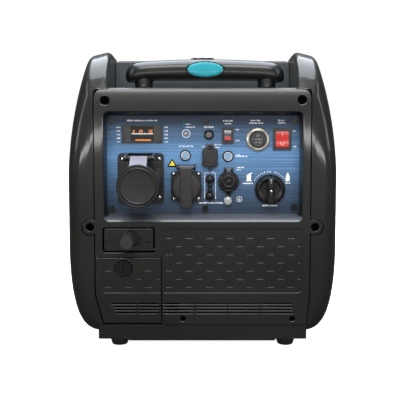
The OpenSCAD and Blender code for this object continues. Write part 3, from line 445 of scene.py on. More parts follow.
def cut(obj, cutter):
    """Takes the cutter's shape out of obj for good."""
    tool = obj.modifiers.new("cut", "BOOLEAN")
    tool.operation = "DIFFERENCE"
    tool.solver = "EXACT"
    tool.object = cutter
    bpy.context.view_layer.update()
    graph = bpy.context.evaluated_depsgraph_get()
    mesh = bpy.data.meshes.new_from_object(obj.evaluated_get(graph))
    obj.modifiers.clear()
    obj.data = mesh
    bpy.data.objects.remove(cutter)


def bezier(a, b, c, d, n):
    out = []
    for i in range(n + 1):
        t = i / n
        u = 1 - t
        out.append(tuple(u**3 * p + 3 * u * u * t * q + 3 * u * t * t * r + t**3 * s
                         for p, q, r, s in zip(a, b, c, d)))
    return out


def rounds(profile, r, n=3):
    """Rounds the inner corners of an open (radius, y) profile."""
    out = [profile[0]]
    for i in range(1, len(profile) - 1):
        p = Vector(profile[i])
        a = Vector(profile[i - 1]) - p
        b = Vector(profile[i + 1]) - p
        size = min(r, a.length * 0.45, b.length * 0.45)
        for k in range(n + 1):
            t = k / n
            q = ((p + a.normalized() * size) * (1 - t) ** 2 + p * 2 * t * (1 - t)
                 + (p + b.normalized() * size) * t * t)
            out.append((q.x, q.y))
    out.append(profile[-1])
    return out


# ---- side covers ----
LENGTH = REAR - FRONT
MIDDLE = LENGTH / 2
REAR_CREST = CREST - 13
PAN_EDGE = 170.4
TOE_X = {1: 170.4, -1: 163.4}
SEAM_FOOT = 95
LEAN_Z = 385
TAB = (182, 207.5)
CUP = (-82, 20, 230, 272)
CUP_DEPTH = 30


def crest_line(top):
    """Height of the crest behind one end: a steep arch, then a fall to the saddle."""
    return (bezier((0, LEAN_Z), (0, DECK), (18, top), (90, top), 24)
            + bezier((110, top - 1), (180, top - (top - CREST + 20) * 0.45), (MIDDLE - 60, CREST - 20),
                     (MIDDLE, CREST - 20), 16))


FRONT_LINE = crest_line(CREST)
REAR_LINE = crest_line(REAR_CREST)
CORNER = bezier((0, HALF_W - 24), (1.2, HALF_W - 10), (8, HALF_W - 0.5), (24, HALF_W), 24)
TOE = bezier((0, SKIRT + 16), (0, SKIRT + 6), (6, SKIRT), (16, SKIRT), 8)
FLANK = (bezier((172, SKIRT), (203, SKIRT), (HALF_W - 2, 82), (HALF_W, 170), 16)
         + [(HALF_W, z) for z in range(178, 295, 6)]
         + bezier((HALF_W, 300), (HALF_W, 350), (HALF_W - 8, 420), (HALF_W - 27, CREST - 18), 16)
         + bezier((HALF_W - 28.5, CREST - 14.5), (HALF_W - 31, CREST - 9), (HALF_W - 35, CREST - 6.5),
                  (HALF_W - 42, CREST - 5.2), 8))


def along(line, d):
    """Height of a (distance, value) line at distance d."""
    for (a, p), (b, q) in zip(line, line[1:]):
        if d <= b:
            return p + (q - p) * max(0.0, d - a) / max(1e-6, b - a)
    return line[-1][1]


def behind(z):
    """How far the upper part of the front face leans back at a height."""
    for (a, low), (b, high) in zip(FRONT_LINE, FRONT_LINE[1:]):
        if z <= high:
            return a + (b - a) * max(0.0, z - low) / (high - low)
    return 0.0


def cover_ring(side, d):
    """Closed cross section of a side cover at a distance behind the front face."""
    near = min(d, LENGTH - d)
    top = along(FRONT_LINE, d) if d < MIDDLE else along(REAR_LINE, LENGTH - d)
    wide = along(CORNER, near)
    low = along(TOE, near)
    ring = []
    for x, z in FLANK:
        px = max(172.0, x - (HALF_W - wide))
        pz = low + (z - SKIRT) * (top - low) / (CREST - SKIRT)
        if SEAM_FOOT < pz < DECK + 0.6:
            px = max(px, SEAM + 0.2)
        ring.append((px, pz))
    wing = [(171, top - 3.6), (166, top - 2.4), (162, top - 1.6), (159, top - 1.6), (156.6, top - 2.6),
            (154.4, top - 4.8), (152.8, top - 8), (DECK_HW, top - 12), (DECK_HW, DECK + 0.6)]
    shelf = DECK + 0.6
    if top < shelf:
        wing = [(SEAM + 0.2, top) for _ in wing]
        ring = [(max(x, SEAM + 0.2) if z > SEAM_FOOT else x, z) for x, z in ring]
    ring += [(x, max(z, min(shelf, top))) for x, z in wing]
    foot = max(BASE_TOP, low)
    ring += [(SEAM, min(shelf, top) - 0.1), (SEAM, SEAM_FOOT), (TOE_X[side], foot), (PAN_EDGE, foot - 0.05),
             (PAN_EDGE, low - 0.1)]
    return ring


def side_cover(side):
    """A moulded side cover lofted from closed rings; side is +1 right, -1 left."""
    ends = [0, 0.5, 1.1, 2, 3.5, 5.5, 8, 11, 15, 20, 26, 33, 41, 50, 62, 76, 90, 105, 125, 150, 180, 215]
    shelf = behind(DECK + 0.6)
    ends = sorted(ends + [shelf - 0.02, shelf + 0.02])
    stations = ends + [MIDDLE] + [LENGTH - d for d in reversed(ends)]
    rings = [[(side * x, FRONT + d, z) for x, z in cover_ring(side, d)] for d in stations]
    n = len(rings[0])
    verts = [p for ring in rings for p in ring]
    faces = [(k * n + i, k * n + (i + 1) % n, (k + 1) * n + (i + 1) % n, (k + 1) * n + i)
             for k in range(len(rings) - 1) for i in range(n)]
    faces.append(tuple(range(n))[::-1])
    faces.append(tuple((len(rings) - 1) * n + i for i in range(n)))
    obj = mesh_object("side_cover_look", verts, faces)
    work = bmesh.new()
    work.from_mesh(obj.data)
    bmesh.ops.remove_doubles(work, verts=work.verts[:], dist=0.02 * MM)
    bmesh.ops.triangulate(work, faces=[f for f in work.faces if len(f.verts) > 4])
    bmesh.ops.recalc_face_normals(work, faces=work.faces[:])
    work.to_mesh(obj.data)
    work.free()
    cut(obj, post(side * TAB[0], TAB[1], 14.0, FRONT - 6, FRONT + 12))
    if side > 0:
        y0, y1, z0, z1 = CUP
        cut(obj, block("tool", (HALF_W - CUP_DEPTH, y0, z0), (HALF_W + 9, y1, z1), 3.0, 3))
    obj.data.set_sharp_from_angle(angle=math.radians(42))
    even_shading(obj)
    return obj


# ---- front fascia ----
HEX_PITCH = (16.5, 27)
HEX_START = (-54.5, 195)
HEX_W = 7.6
HEX_FLAT = 5.2
HEX_H = 6.6
DOOR = (-174, -67, 157)
FIELD = (-62.5, 99.4, 161, 205)
FIELD_Y = FRONT + 0.9
LOCK = (-128.2, 139.2)
GAS_POCKET = (-114, 189.5)


def hex_cells(first, last, low, high):
    """Centres of the honeycomb cells that fit between two heights."""
    cells = []
    for i in range(first, last + 1):
        for j in range(5):
            x = HEX_START[0] + i * HEX_PITCH[0]
            z = HEX_START[1] - (j + (abs(i) % 2) / 2) * HEX_PITCH[1]
            if low < z - HEX_H and z + HEX_H < high:
                cells.append((x, z))
    return cells


def hex_outline(x, z, grow, floor_step=0.0):
    """Hexagon outline; floor_step lifts the lower edge, for a sloped lower wall."""
    w = HEX_W + grow
    b = HEX_FLAT + grow * 0.7
    h = HEX_H + grow
    return [(x - w, z), (x - b, z - h + floor_step), (x + b, z - h + floor_step), (x + w, z),
            (x + b, z + h), (x - b, z + h)]


def honeycomb_field(name, outline, cells, y, limits, holes=()):
    """A thin plate with a shallow pocket at each cell; the lower wall of a pocket slopes."""
    def held(points):
        """Keeps a cell at the border inside the field."""
        return [(min(max(x, limits[0]), limits[1]), z) for x, z in points]
    pockets = [held(hex_outline(x, z, 0))[::-1] for x, z in cells]
    parts = [plate(name, outline, pockets + list(holes), y, y + 1.0, 0.02)]
    verts = []
    faces = []
    for x, z in cells:
        n = len(verts)
        verts += [(px, y + 0.02, pz) for px, pz in held(hex_outline(x, z, 0))]
        verts += [(px, y + 0.75, pz) for px, pz in held(hex_outline(x, z, -0.2, 0.75))]
        faces += [(n + k, n + (k + 1) % 6, n + 6 + (k + 1) % 6, n + 6 + k) for k in range(6)]
        faces.append(tuple(n + 6 + k for k in range(6)))
    parts.append(mesh_object("pockets", verts, faces, smooth=False))
    return parts


def slots(x0, x1, step=0.0):
    return [rect(x0 + j * step, 79.9 - j * 5.1, x1, 82.3 - j * 5.1, 0.9, 2) for j in range(4)]


def fascia():
    right = DOOR[1] + 1.0
    top = DOOR[2] + 1.0
    ear = [(TAB[0] + 12.7 * math.cos(math.radians(a)), TAB[1] + 12.7 * math.sin(math.radians(a)))
           for a in range(-128, 129, 8)]
    ear_round = [3] + [0] * (len(ear) - 2) + [3]
    outline = rounded([(right, BASE_TOP), (TOE_X[1] - 1.0, BASE_TOP), (SEAM - 1.3, SEAM_FOOT)] + ear
                      + [(SEAM - 1.3, DECK), (-SEAM + 1.3, DECK)] + [(-x, z) for x, z in ear[::-1]]
                      + [(-SEAM + 1.3, top), (right, top)],
                      [2, 3, 8] + ear_round + [14, 14] + ear_round + [3, 4])
    field = rounded([(FIELD[0], FIELD[1]), (FIELD[2], FIELD[1]), (FIELD[2], FIELD[3]),
                     (FIELD[0], FIELD[3])], [1.5, 8, 5, 5])
    holes = [rect(-158.8, 216.5, 161.2, 394.5, 9), rect(-161.8, 165.6, -77.3, 207, 4), field]
    wells = [(-156.3, 412, 7.4), (159.5, 413, 7.4), (-TAB[0], TAB[1], 6.5), (TAB[0], TAB[1], 6.5)]
    holes += [circle(*well) for well in wells]
    holes += [circle(x, 56.2, 4.6, 20) for x in (-31.9, 146.3)]
    for x in (-64.6, -10, 43, 96):
        holes += slots(x, x + 50)
    front = plate("fascia_front", outline, holes, FRONT, FRONT + 3, 0.9)
    cells = hex_cells(0, 13, FIELD[1] + 0.6, FIELD[3] + 1)
    inner = rect(FIELD[0] - 1.5, FIELD[1] - 1.5, FIELD[2] + 1.5, FIELD[3] + 1.5)
    # the lower sill gets painted light and the other walls painted shade
    for walls, finish in zip(recess_walls(), ("sill", "recess")):
        finish_mesh(walls, finish, "case")
    parts = [front] + honeycomb_field("field", inner, cells, FIELD_Y,
                                              (FIELD[0] + 1.2, FIELD[2] - 1.2))
    # dark lining in the screw wells: painted shade
    shafts = [turned("well", x, z, [(r, FRONT + 2.4 + behind(z)), (r, FRONT + 9), (0.01, FRONT + 9)], 32)
              for x, z, r in wells]
    finish_mesh(joined("screw_wells", shafts), "black_print_and_shade", "case")
    for x0, x1, z0, z1 in ((DOOR[0], -58, top + 0.5, 164), (right + 0.4, -58, BASE_TOP, 98),
                           (DOOR[0], -164.5, BASE_TOP, 164), (DOOR[0], -58, BASE_TOP, 60)):
        parts.append(block("jamb", (x0, FRONT + 8.1, z0), (x1, FRONT + 10.9, z1), 0.3))
    look = joined("front_fascia_look", parts)
    work = bmesh.new()
    work.from_mesh(look.data)
    for step in range(9):
        height = (LEAN_Z + 1 + step * 5.2) * MM
        bmesh.ops.bisect_plane(work, geom=work.verts[:] + work.edges[:] + work.faces[:], dist=1e-7,
                               plane_co=(0, 0, height), plane_no=(0, 0, 1))
    for v in work.verts:
        if v.co.y < (FRONT + 5) * MM:
            v.co.y += behind(v.co.z / MM) * MM
    work.to_mesh(look.data)
    work.free()
    look.data.set_sharp_from_angle(angle=math.radians(23))
    return look


def gas_plate():
    """Flat plate round the gas inlet, with a raised collar."""
    x, z = GAS_POCKET
    outline = rect(-159.4, 168.2, -79.7, 204.8, 3, 5)
    parts = [plate("plate", outline, [circle(x, z, 14.2, 48)], FRONT + 1.5, FRONT + 4, 0.7),
             turned("collar", x, z, rounds([(12.4, FRONT + 3.4), (13.0, FRONT + 1.0), (14.8, FRONT + 1.0),
                                            (15.4, FRONT + 2.2)], 0.5), 48),
             turned("well", x, z, [(14.2, FRONT + 1.8), (14.0, FRONT + 6.4), (0.01, FRONT + 6.4)], 40)]
    finish_mesh(joined("gas_plate_look", parts), "cover", "case", "lpg_plate")


def recess_walls():
    """Drafted walls round the panel from a rounded lip: first the lower sill, which is painted light grey as
    painted light, then the rest, painted darker as painted shade.
    """
    def ring(grow, low, high, y):
        pts = rect(-158.8 - grow, 216.5 + low, 161.2 + grow, 394.5 + high, max(2.0, 9 + grow), 6)
        return [(x, y, z) for x, z in pts]
    steps = [ring(0.2, -0.2, 0.2, FRONT + 0.9), ring(-0.3, 1.5, -0.6, FRONT + 2.2),
             ring(-0.5, 3.2, -1.1, FRONT + 4.4), ring(-0.7, 4.3, -2.2, FRONT + 8),
             ring(-1.0, 5.3, -4.2, FRONT + 16), ring(-1.5, 7, -8, PANEL - 0.2)]
    n = len(steps[0])
    verts = [p for s in steps for p in s]
    faces = [(k * n + i, k * n + (i + 1) % n, (k + 1) * n + (i + 1) % n, (k + 1) * n + i)
             for k in range(len(steps) - 1) for i in range(n)]
    sill_top = 224
    sill = [f for f in faces if sum(verts[i][2] for i in f) / 4 < sill_top]
    rest = [f for f in faces if f not in sill]
    return mesh_object("recess_sill", verts, sill), mesh_object("recess_walls", verts, rest)


def service_door():
    x0, x1, top = DOOR
    outline = rounded([(-162.2, 49), (x1, 49), (x1, top), (x0 + 0.2, top), (x0 + 0.2, 93), (-162.4, 55.5)],
                      [2, 2, 5, 3, 12, 1])
    field = rounded([(-161.3, FIELD[1]), (x1 - 0.9, FIELD[1]), (x1 - 0.9, top - 2), (-161.3, top - 2)],
                    [6, 0.4, 4, 4])
    holes = [field] + slots(-148.5, -108.5, 3) + slots(-104.7, -71)
    front = plate("door_front", outline, holes, FRONT + 0.2, FRONT + 3, 0.8)
    cells = [c for c in hex_cells(-6, -1, FIELD[1] + 0.6, top - 1)
             if math.hypot(c[0] - LOCK[0], c[1] - LOCK[1]) > 22]
    inner = rect(-163, FIELD[1] - 1.5, x1 - 0.6, top - 0.8)
    back = honeycomb_field("door_field", inner, cells, FRONT + 1.0, (-160, x1 - 1.8),
                           [circle(*LOCK, 14.4, 40)])
    rim = turned("lock_rim", *LOCK, rounds([(14.6, FRONT + 3.4), (14.6, FRONT + 0.3), (15.8, FRONT + 0.3),
                                            (16.2, FRONT + 0.8)], 0.4), 40)
    return joined("service_door_look", [front, rim] + back)


# ---- panel print ----
def thin(name, outline, holes=(), lift=0.12):
    """A flat printed shape just proud of the panel."""
    return plate(name, outline, holes, PANEL - lift, PANEL + 0.05, 0.02)


def word(x, z, width, height, seed):
    """A row of small blocks that reads as a line of print without being any word."""
    rng = random.Random(seed)
    parts = []
    at = x - width / 2
    while at < x + width / 2 - 0.8:
        step = rng.choice((0.9, 1.2, 1.5))
        tall = height * rng.choice((0.7, 0.85, 1.0))
        parts.append(thin("word", rect(at, z - height / 2, at + step, z - height / 2 + tall)))
        at += step + rng.choice((0.45, 0.55, 1.3))
    return parts


def ring_print(x, z, r0, r1, a0=0.0, a1=360.0, n=32):
    """A printed ring or arc."""
    span = [math.radians(a0 + (a1 - a0) * i / n) for i in range(n + 1)]
    if a1 - a0 >= 360:
        return thin("ring", circle(x, z, r1, n), [circle(x, z, r0, n)[::-1]])
    outer = [(x + r1 * math.cos(a), z + r1 * math.sin(a)) for a in span]
    inner = [(x + r0 * math.cos(a), z + r0 * math.sin(a)) for a in reversed(span)]
    return thin("arc", outer + inner)


def panel_print():
    """White labels, rings, the selector scale and pictograms."""
    white = []
    lines = [(-98.5, 378.3, 51, 2.4), (-23, 372.2, 8, 1.7), (-19, 367.4, 16, 2.0),
             (-27, 335.8, 23, 2.1), (11, 367.6, 16.4, 2.2), (41.6, 377.7, 15.5, 2.1),
             (42.2, 373.2, 11, 2.1), (57.6, 363.5, 6, 2.0), (57.6, 345.3, 6, 2.0),
             (87.6, 378.3, 17, 2.1), (88.2, 374.0, 23, 2.1), (130, 378.3, 11, 2.1),
             (130.6, 374.3, 13, 2.1), (152, 361, 6, 2.0), (152, 335.3, 6, 2.0),
             (58.5, 322.0, 8, 1.8), (64.6, 319.2, 20, 2.0), (63, 300.6, 12, 1.8),
             (59.5, 296.8, 8, 2.0), (1.4, 335.3, 4, 1.8), (25.5, 338.3, 11, 1.5),
             (24.6, 334.1, 8, 2.0), (14, 241.6, 39, 1.9), (75.5, 274.1, 18, 2.0),
             (141.2, 275.0, 8, 2.0), (111, 237.1, 24, 2.1), (110, 293.6, 7, 1.8)]
    for k, (x, z, w, h) in enumerate(lines):
        white += word(x, z, w, h * 1.2, k)
    for k in range(5):
        white += word(-138.1, 367.1 - 6 * k, 6 - (k == 4) * 2.5, 2.2, 50 + k)
        white += word(-59.3, 367.1 - 6 * k, 6 - (k == 4) * 2.5, 2.2, 60 + k)
    white.append(ring_print(-26.8, 356.6, 6.0, 6.8))
    # selector scale: a dotted arc with a gap at the middle
    sx, sz = 111.6, 264.0
    for a in range(24, 157, 7):
        if not 76 < a < 104:
            size = 1.0 if 70 < a < 110 else 0.7
            t = math.radians(a)
            white.append(thin("dot", circle(sx + 29.8 * math.cos(t), sz + 29.8 * math.sin(t), size, 10)))
    # fuel can and gas bottle
    white.append(thin("can", rect(71.8, 277.6, 81.2, 279.2, 0.4)))
    white.append(thin("can", rect(73, 279.6, 80, 288.6, 0.8)))
    white.append(thin("can", rounded([(75, 289), (79.6, 289), (82.4, 291.6), (81, 292.2)], 0.3)))
    white.append(thin("bottle", rect(137.6, 277.8, 143.8, 287.6, 1.6)))
    white.append(thin("bottle", rect(139, 288.1, 142.4, 291.4, 0.9)))
    # bracket round the parallel sockets
    for x in (3.6, 21.6):
        white.append(thin("line", rect(x - 0.35, 248, x + 0.35, 288)))
    white.append(ring_print(7.6, 288, 3.65, 4.35, 90, 180, 8))
    white.append(ring_print(17.6, 288, 3.65, 4.35, 0, 90, 8))
    white.append(thin("line", rect(7.6, 291.65, 10.6, 292.35)))
    white.append(thin("line", rect(14.4, 291.65, 17.6, 292.35)))
    # earth mark
    white.append(ring_print(61, 247.8, 4.0, 4.6))
    for k, half in enumerate((2.4, 1.6, 0.8)):
        white.append(thin("bar", rect(61 - half, 247.4 - k * 1.1, 61 + half, 247.9 - k * 1.1)))
    white.append(thin("bar", rect(60.75, 247.8, 61.25, 250.4)))
    finish_mesh(joined("panel_print", white), "white", "case")
    marks = (("green", [thin("mark", rect(-31.6, 370.6, -28.4, 373.8, 0.8))]),
             ("blue", [thin("mark", rect(-31.6, 365.8, -28.4, 369.0, 0.8))]),
             ("yellow", [thin("mark", rounded([(-55.4, 303.3), (-44.6, 303.3), (-50, 312.0)], 0.6),
                              lift=0.3)]),
             ("black_print_and_shade", [thin("mark", rounded([(-58.6, 301.2), (-41.4, 301.2), (-50, 315.4)], 1.0),
                            lift=0.2)]))
    for finish, parts in marks:
        finish_mesh(joined(finish + "_mark", parts), finish, "case")


def display_look():
    """Smoked window with amber digits behind it."""
    digits = []
    front = PANEL - 1.45
    for k, x in enumerate((-113, -103, -99.5, -87, -83.5)):
        digits.append(block("digit", (x - 1.1, front, 358.2), (x + 1.1, front + 0.3, 363), 0.1))
    digits.append(block("bar", (-110.5, front, 344.8), (-84.5, front + 0.3, 347.2), 0.1))
    finish_mesh(joined("display_digits", digits), "amber", "case")
    window = block("display_window", (-117.3, PANEL - 1.3, 344.2), (-81, PANEL - 0.7, 367.8), 0.1)
    finish_mesh(window, "glass", "case")


# ---- small bright parts ----
def pan_head(x, z, r, y):
    """A domed screw head facing the front."""
    head = turned("head", x, z, [(0.01, y - r * 0.45), (r * 0.5, y - r * 0.38), (r * 0.85, y - r * 0.2),
                                 (r, y), (r, y + 0.6)], 20)
    return head


def bright_screws():
    flange = PANEL - 6
    heads = [pan_head(x, z, 3.7, flange + 0.6) for x, z in
             ((-132.1, 314.2), (-71.2, 314.8), (-71.2, 251.0), (-132.6, 250.8))]
    heads += [pan_head(x, z, 3.1, PANEL - 4.0) for x in (-47.4, -6.4) for z in (289.7, 248.7)]
    finish_mesh(joined("socket_screws", heads), "chrome", "case")
    knob_screw = pan_head(111.8, 264.0, 2.6, PANEL - 24.6)
    finish_mesh(knob_screw, "chrome", "selector")
    plate_screws = [pan_head(x, 184.8, 2.9, FRONT + 1.8) for x in (-154.7, -86.1)]
    finish_mesh(joined("gas_plate_screws", plate_screws), "screw", "case")


def three_phase_lid():
    """Round lid with a rim, a raised disc, its sloping arm and the hinge."""
    x, z = -101.6, 278.3
    y = edge("cee_lid", 1, 0)
    profile = [(0.01, y + 1.2), (26.4, y + 1.2), (27.2, y + 0.2), (28.6, y + 0.2), (29.4, y + 2.2),
               (31.4, y + 2.4), (32.2, y + 1.4), (33.6, y + 1.6), (34.4, y + 3.2), (34.4, y + 11.0),
               (32.4, y + 11.6), (0.01, y + 11.6)]
    parts = [turned("lid", x, z, rounds(profile, 0.7, 3), 96)]
    frame_box = rect(x - 12.5, z - 6, x + 12.5, z + 6.5, 1.5)
    parts.append(plate("mark", frame_box, [rect(x - 11.6, z - 5.1, x + 11.6, z + 5.6, 1.2)[::-1]],
                       y + 0.8, y + 1.3, 0.1))
    for k in (-1, 0, 1):
        parts.append(plate("mark", circle(x + 7.2 * k, z + 0.3, 2.6, 20),
                           [circle(x + 7.2 * k, z + 0.3, 1.6, 20)[::-1]], y + 0.8, y + 1.3, 0.1))
    parts.append(block("tab", (x - 11, y + 3, 238.6), (x + 1, y + 9, 248), 1.2, 3))
    pin_y, pin_z = PANEL - 38.1, 320
    parts.append(roller("knuckle", pin_y, pin_z, 4.5, x - 19.4, x + 19.4, 32, 0.8))
    finish_mesh(joined("three_phase_lid_look", parts), "lid", "three_phase_lid", "cee_lid")
    # the light lavender finish on the arm is a painted highlight
    arm = prism("three_phase_arm", rounded(
        [(y + 3.2, 300), (y + 2.6, 308.4), (y + 4.6, 311), (pin_y - 1.2, 324.4), (pin_y + 1.5, 324.4),
         (pin_y + 1.5, 316.6), (y + 11.4, 312), (y + 11.2, 300)], [0, 1, 2, 2, 1, 1, 1, 0]),
        x - 13.7, x + 13.7, 1.0)
    finish_mesh(arm, "arm", "three_phase_lid", "cee_lid")


def mains_lid():
    """Domed lid of the household outlet with its spring strap and ribbed tab."""
    x, z, y = -26.9, 269.2, PANEL - 15.1
    parts = [turned("lid", x, z, rounds([(0.01, y + 2.1), (21.5, y + 2.1), (24.2, y + 3.6), (24.5, y + 6.4),
                                         (23, y + 6.7), (0.01, y + 6.7)], 1.0, 3), 80)]
    parts.append(plate("strap", rect(x - 9.8, 234.6, x + 9.8, 301, 2.5), [], y, y + 2.6, 0.9))
    for k in range(6):
        parts.append(block("rib", (x - 8, y - 0.7, 237.2 + k * 2.6), (x + 8, y + 0.6, 238.6 + k * 2.6), 0.4))
    parts.append(turned("boss", x, z, rounds([(0.01, y - 0.3), (1.6, y - 0.3), (2.1, y + 0.5)], 0.3), 20))
    finish_mesh(joined("mains_lid_look", parts), "warm", "mains_lid", "schuko_lid")
    # hinge painted light grey as a painted highlight
    hinge = [roller("barrel", y + 6, 302, 3.5, x - 11.9, x + 11.9, 28, 0.6),
             block("bridge", (x - 9.8, y + 0.4, 293), (x + 9.8, y + 5.6, 303.6), 1.0, 3)]
    finish_mesh(joined("mains_lid_hinge", hinge), "satin", "mains_lid", "schuko_lid")


def usb_flap():
    x, z, y = 12.3, 317.5, PANEL - 8.1
    parts = [plate("flap", rect(x - 12.8, z - 15.8, x + 12.8, z + 12.8, 5.5, 6), [], y, y + 5.6, 1.4),
             plate("inset", rect(x - 7.6, z - 9.6, x + 7.6, z + 6.6, 2),
                   [rect(x - 6.2, z - 8.2, x + 6.2, z + 5.2, 1.4)[::-1]], y - 0.7, y + 0.5, 0.3),
             plate("pull", circle(x, 299.6, 3.5, 24), [], y + 1.2, y + 4.5, 0.8),
             block("bridge", (x - 3.3, y + 0.8, z + 11), (x + 3.3, y + 5, 337), 0.6),
             roller("barrel", y + 3.1, 336.5, 2.5, x - 3.4, x + 3.4)]
    finish_mesh(joined("usb_flap_look", parts), "gloss", "usb_flap", "usb_cover")
    # hinge ears painted light grey as a painted highlight
    ears = [block("ear", (x + s * 5.4 - 1.6, y - 0.4, 333.6), (x + s * 5.4 + 1.6, y + 6.6, 340.4), 0.8, 3)
            for s in (-1, 1)]
    finish_mesh(joined("usb_hinge_ears", ears), "satin", "case")


def parallel_plug_look():
    x, y = 12.2, PANEL - 0.1
    dome = [(0.01, y - 9.3), (2.6, y - 9.0), (3.0, y - 8.2), (4.0, y - 8.2), (5.8, y - 7.2), (6.9, y - 5.4),
            (7.2, y - 3.4), (7.2, y - 1.8), (0.01, y - 1.8)]
    parts = [turned("dome", x, z, rounds(dome, 0.5), 40) for z in (281.1, 252.8)]
    parts.append(prism("link", rounded([(y - 6, 256), (y - 6, 278), (y - 4.2, 278), (y - 4.2, 256)], 0.5),
                       x - 2.4, x + 2.4, 0.4))
    stop = rounds([(0.01, y - 7.4), (3.2, y - 6.8), (4.3, y - 5.0), (3.4, y - 4.0)], 0.4)
    for s in (-1, 1):
        parts.append(turned("stop", x, 266.9 + s * 4.2, stop, 24))
    finish_mesh(joined("parallel_plugs_look", parts), "gloss", "parallel_plugs", "parallel_caps")


def dc_flap():
    x, z, y = 43.1, 277.6, PANEL - 10.1
    face = [(0.01, y), (3.8, y), (4.4, y + 1.2), (6.4, y + 1.2), (7.0, y + 0.1), (10.8, y + 0.1),
            (11.8, y + 1.7), (13.6, y + 1.9), (14.2, y + 1.2), (16.2, y + 1.5), (17.2, y + 3.0),
            (17.3, y + 6.6), (0.01, y + 6.6)]
    parts = [turned("flap", x, z, rounds(face, 0.4), 64),
             plate("pull", circle(x, 257.7, 4.4, 24), [circle(x, 257.4, 1.4, 12)[::-1]], y + 2.2, y + 6, 0.8),
             block("neck", (x - 4.2, y + 2.2, 258), (x + 4.2, y + 6, 265), 0.8)]
    finish_mesh(joined("dc_flap_look", parts), "gloss", "dc_flap", "dc_cover")
    # hinge painted light grey as a painted highlight
    hinge = [roller("barrel", y + 4.1, 298, 2.7, x - 3.9, x + 3.9),
             block("bridge", (x - 3.7, y + 1.8, 291), (x + 3.7, y + 6.4, 299), 0.8)]
    finish_mesh(joined("dc_flap_hinge_look", hinge), "satin", "dc_flap", "dc_cover")


def earth_nut():
    """Knurled thumb nut."""
    x, z, y = 41.8, 245.8, PANEL - 10.1
    teeth = [(x + r * math.cos(a), z + r * math.sin(a)) for k in range(28)
             for a, r in ((math.tau * k / 28, 6.7), (math.tau * (k + 0.5) / 28, 6.0))]
    parts = [plate("knurl", teeth, [circle(x, z, 4.1, 24)[::-1]], y + 1, y + 6, 0.3),
             turned("collar", x, z, rounds([(4.1, y), (5.2, y), (5.4, y + 1.2)], 0.3), 32),
             turned("collar", x, z, rounds([(5.4, y + 5.6), (5.4, y + 8.1), (4.1, y + 8.1)], 0.3), 32)]
    finish_mesh(joined("earth_nut_look", parts), "steel", "earth_thumb_nut", "earth_nut")


def fuel_selector():
    """Dished skirt with a thick bar handle and a light grey strip on the bar as a painted highlight."""
    x, z, y = 111.6, 264.0, PANEL - 0.1
    skirt = [(0.01, y - 8.4), (15.5, y - 8.4), (19.6, y - 9.6), (21.6, y - 9.2), (23.8, y - 6.2),
             (24.0, y - 2.6), (22.6, y - 1.7), (0.01, y - 1.7)]
    parts = [turned("skirt", x, z, rounds(skirt, 0.9), 96)]
    bar = rounded([(x - 6.2, z - 20.5), (x + 6.2, z - 20.5), (x + 5.2, z + 21.5), (x - 5.2, z + 21.5)],
                  [5, 5, 3.5, 3.5], 6)
    parts.append(plate("bar", bar, [circle(x + 0.2, z, 3.2, 20)[::-1]], y - 24, y - 8, 2.0))
    parts.append(turned("seat", x + 0.2, z, [(3.2, y - 22.6), (0.01, y - 22.6)], 20))
    finish_mesh(joined("fuel_selector_look", parts), "gloss", "selector", "selector_knob")
    # light grey strip on the bar: a painted highlight
    painted_highlight = block("selector_painted_highlight", (x - 0.9, y - 24.3, z + 12.5), (x + 0.9, y - 23.5, z + 20), 0.2)
    finish_mesh(painted_highlight, "grey_print_and_highlight", "selector")


def panel_rings():
    """Start ring, reset collar and the two breaker bushes."""
    y = PANEL - 0.1
    start = turned("start_ring", 91, 347, rounds(
        [(14.4, y - 2.6), (14.6, y - 4.3), (15.6, y - 4.9), (16.6, y - 4.2), (18.2, y - 4.0),
         (19.6, y - 2.8), (20, y - 0.1)], 0.35), 96)
    finish_mesh(start, "gilt", "case", "button_collars")
    collar = turned("reset_collar", 10.5, 354.9, rounds(
        [(5.1, y - 1.8), (5.3, y - 3.6), (6.6, y - 3.9), (8.1, y - 2.6), (8.4, y - 0.1)], 0.4), 48)
    finish_mesh(collar, "gloss", "case", "button_collars")
    breakers = ((-28.3, 320.6), (42.2, 319.1))
    outer = rounds([(7.4, y - 2.2), (7.6, y - 3.0), (8.6, y - 2.9), (9.3, y - 1.6), (9.3, y - 0.1)], 0.3)
    inner = rounds([(5.45, y - 2.4), (5.5, y - 3.4), (6.4, y - 3.8), (7.3, y - 3.0), (7.4, y - 0.6)], 0.3)
    bushes = [turned("bush", x, z, outer, 48) for x, z in breakers]
    rings = [turned("ring", x, z, inner, 48) for x, z in breakers]
    finish_mesh(joined("breaker_bushes", bushes), "gloss", "case", "button_collars")
    finish_mesh(joined("breaker_rings", rings), "pearl", "case", "button_collars")
    print_lines = word(91, 353.6, 7, 3.4, 71) + word(91, 347.6, 17, 3.0, 72) + word(91, 342.4, 13, 3.4, 73)
    legend = joined("start_legend", print_lines + word(91, 337.8, 8, 1.4, 74))
    for v in legend.data.vertices:
        v.co.y -= 3.6 * MM
    finish_mesh(legend, "grey_print_and_highlight", "start_key")


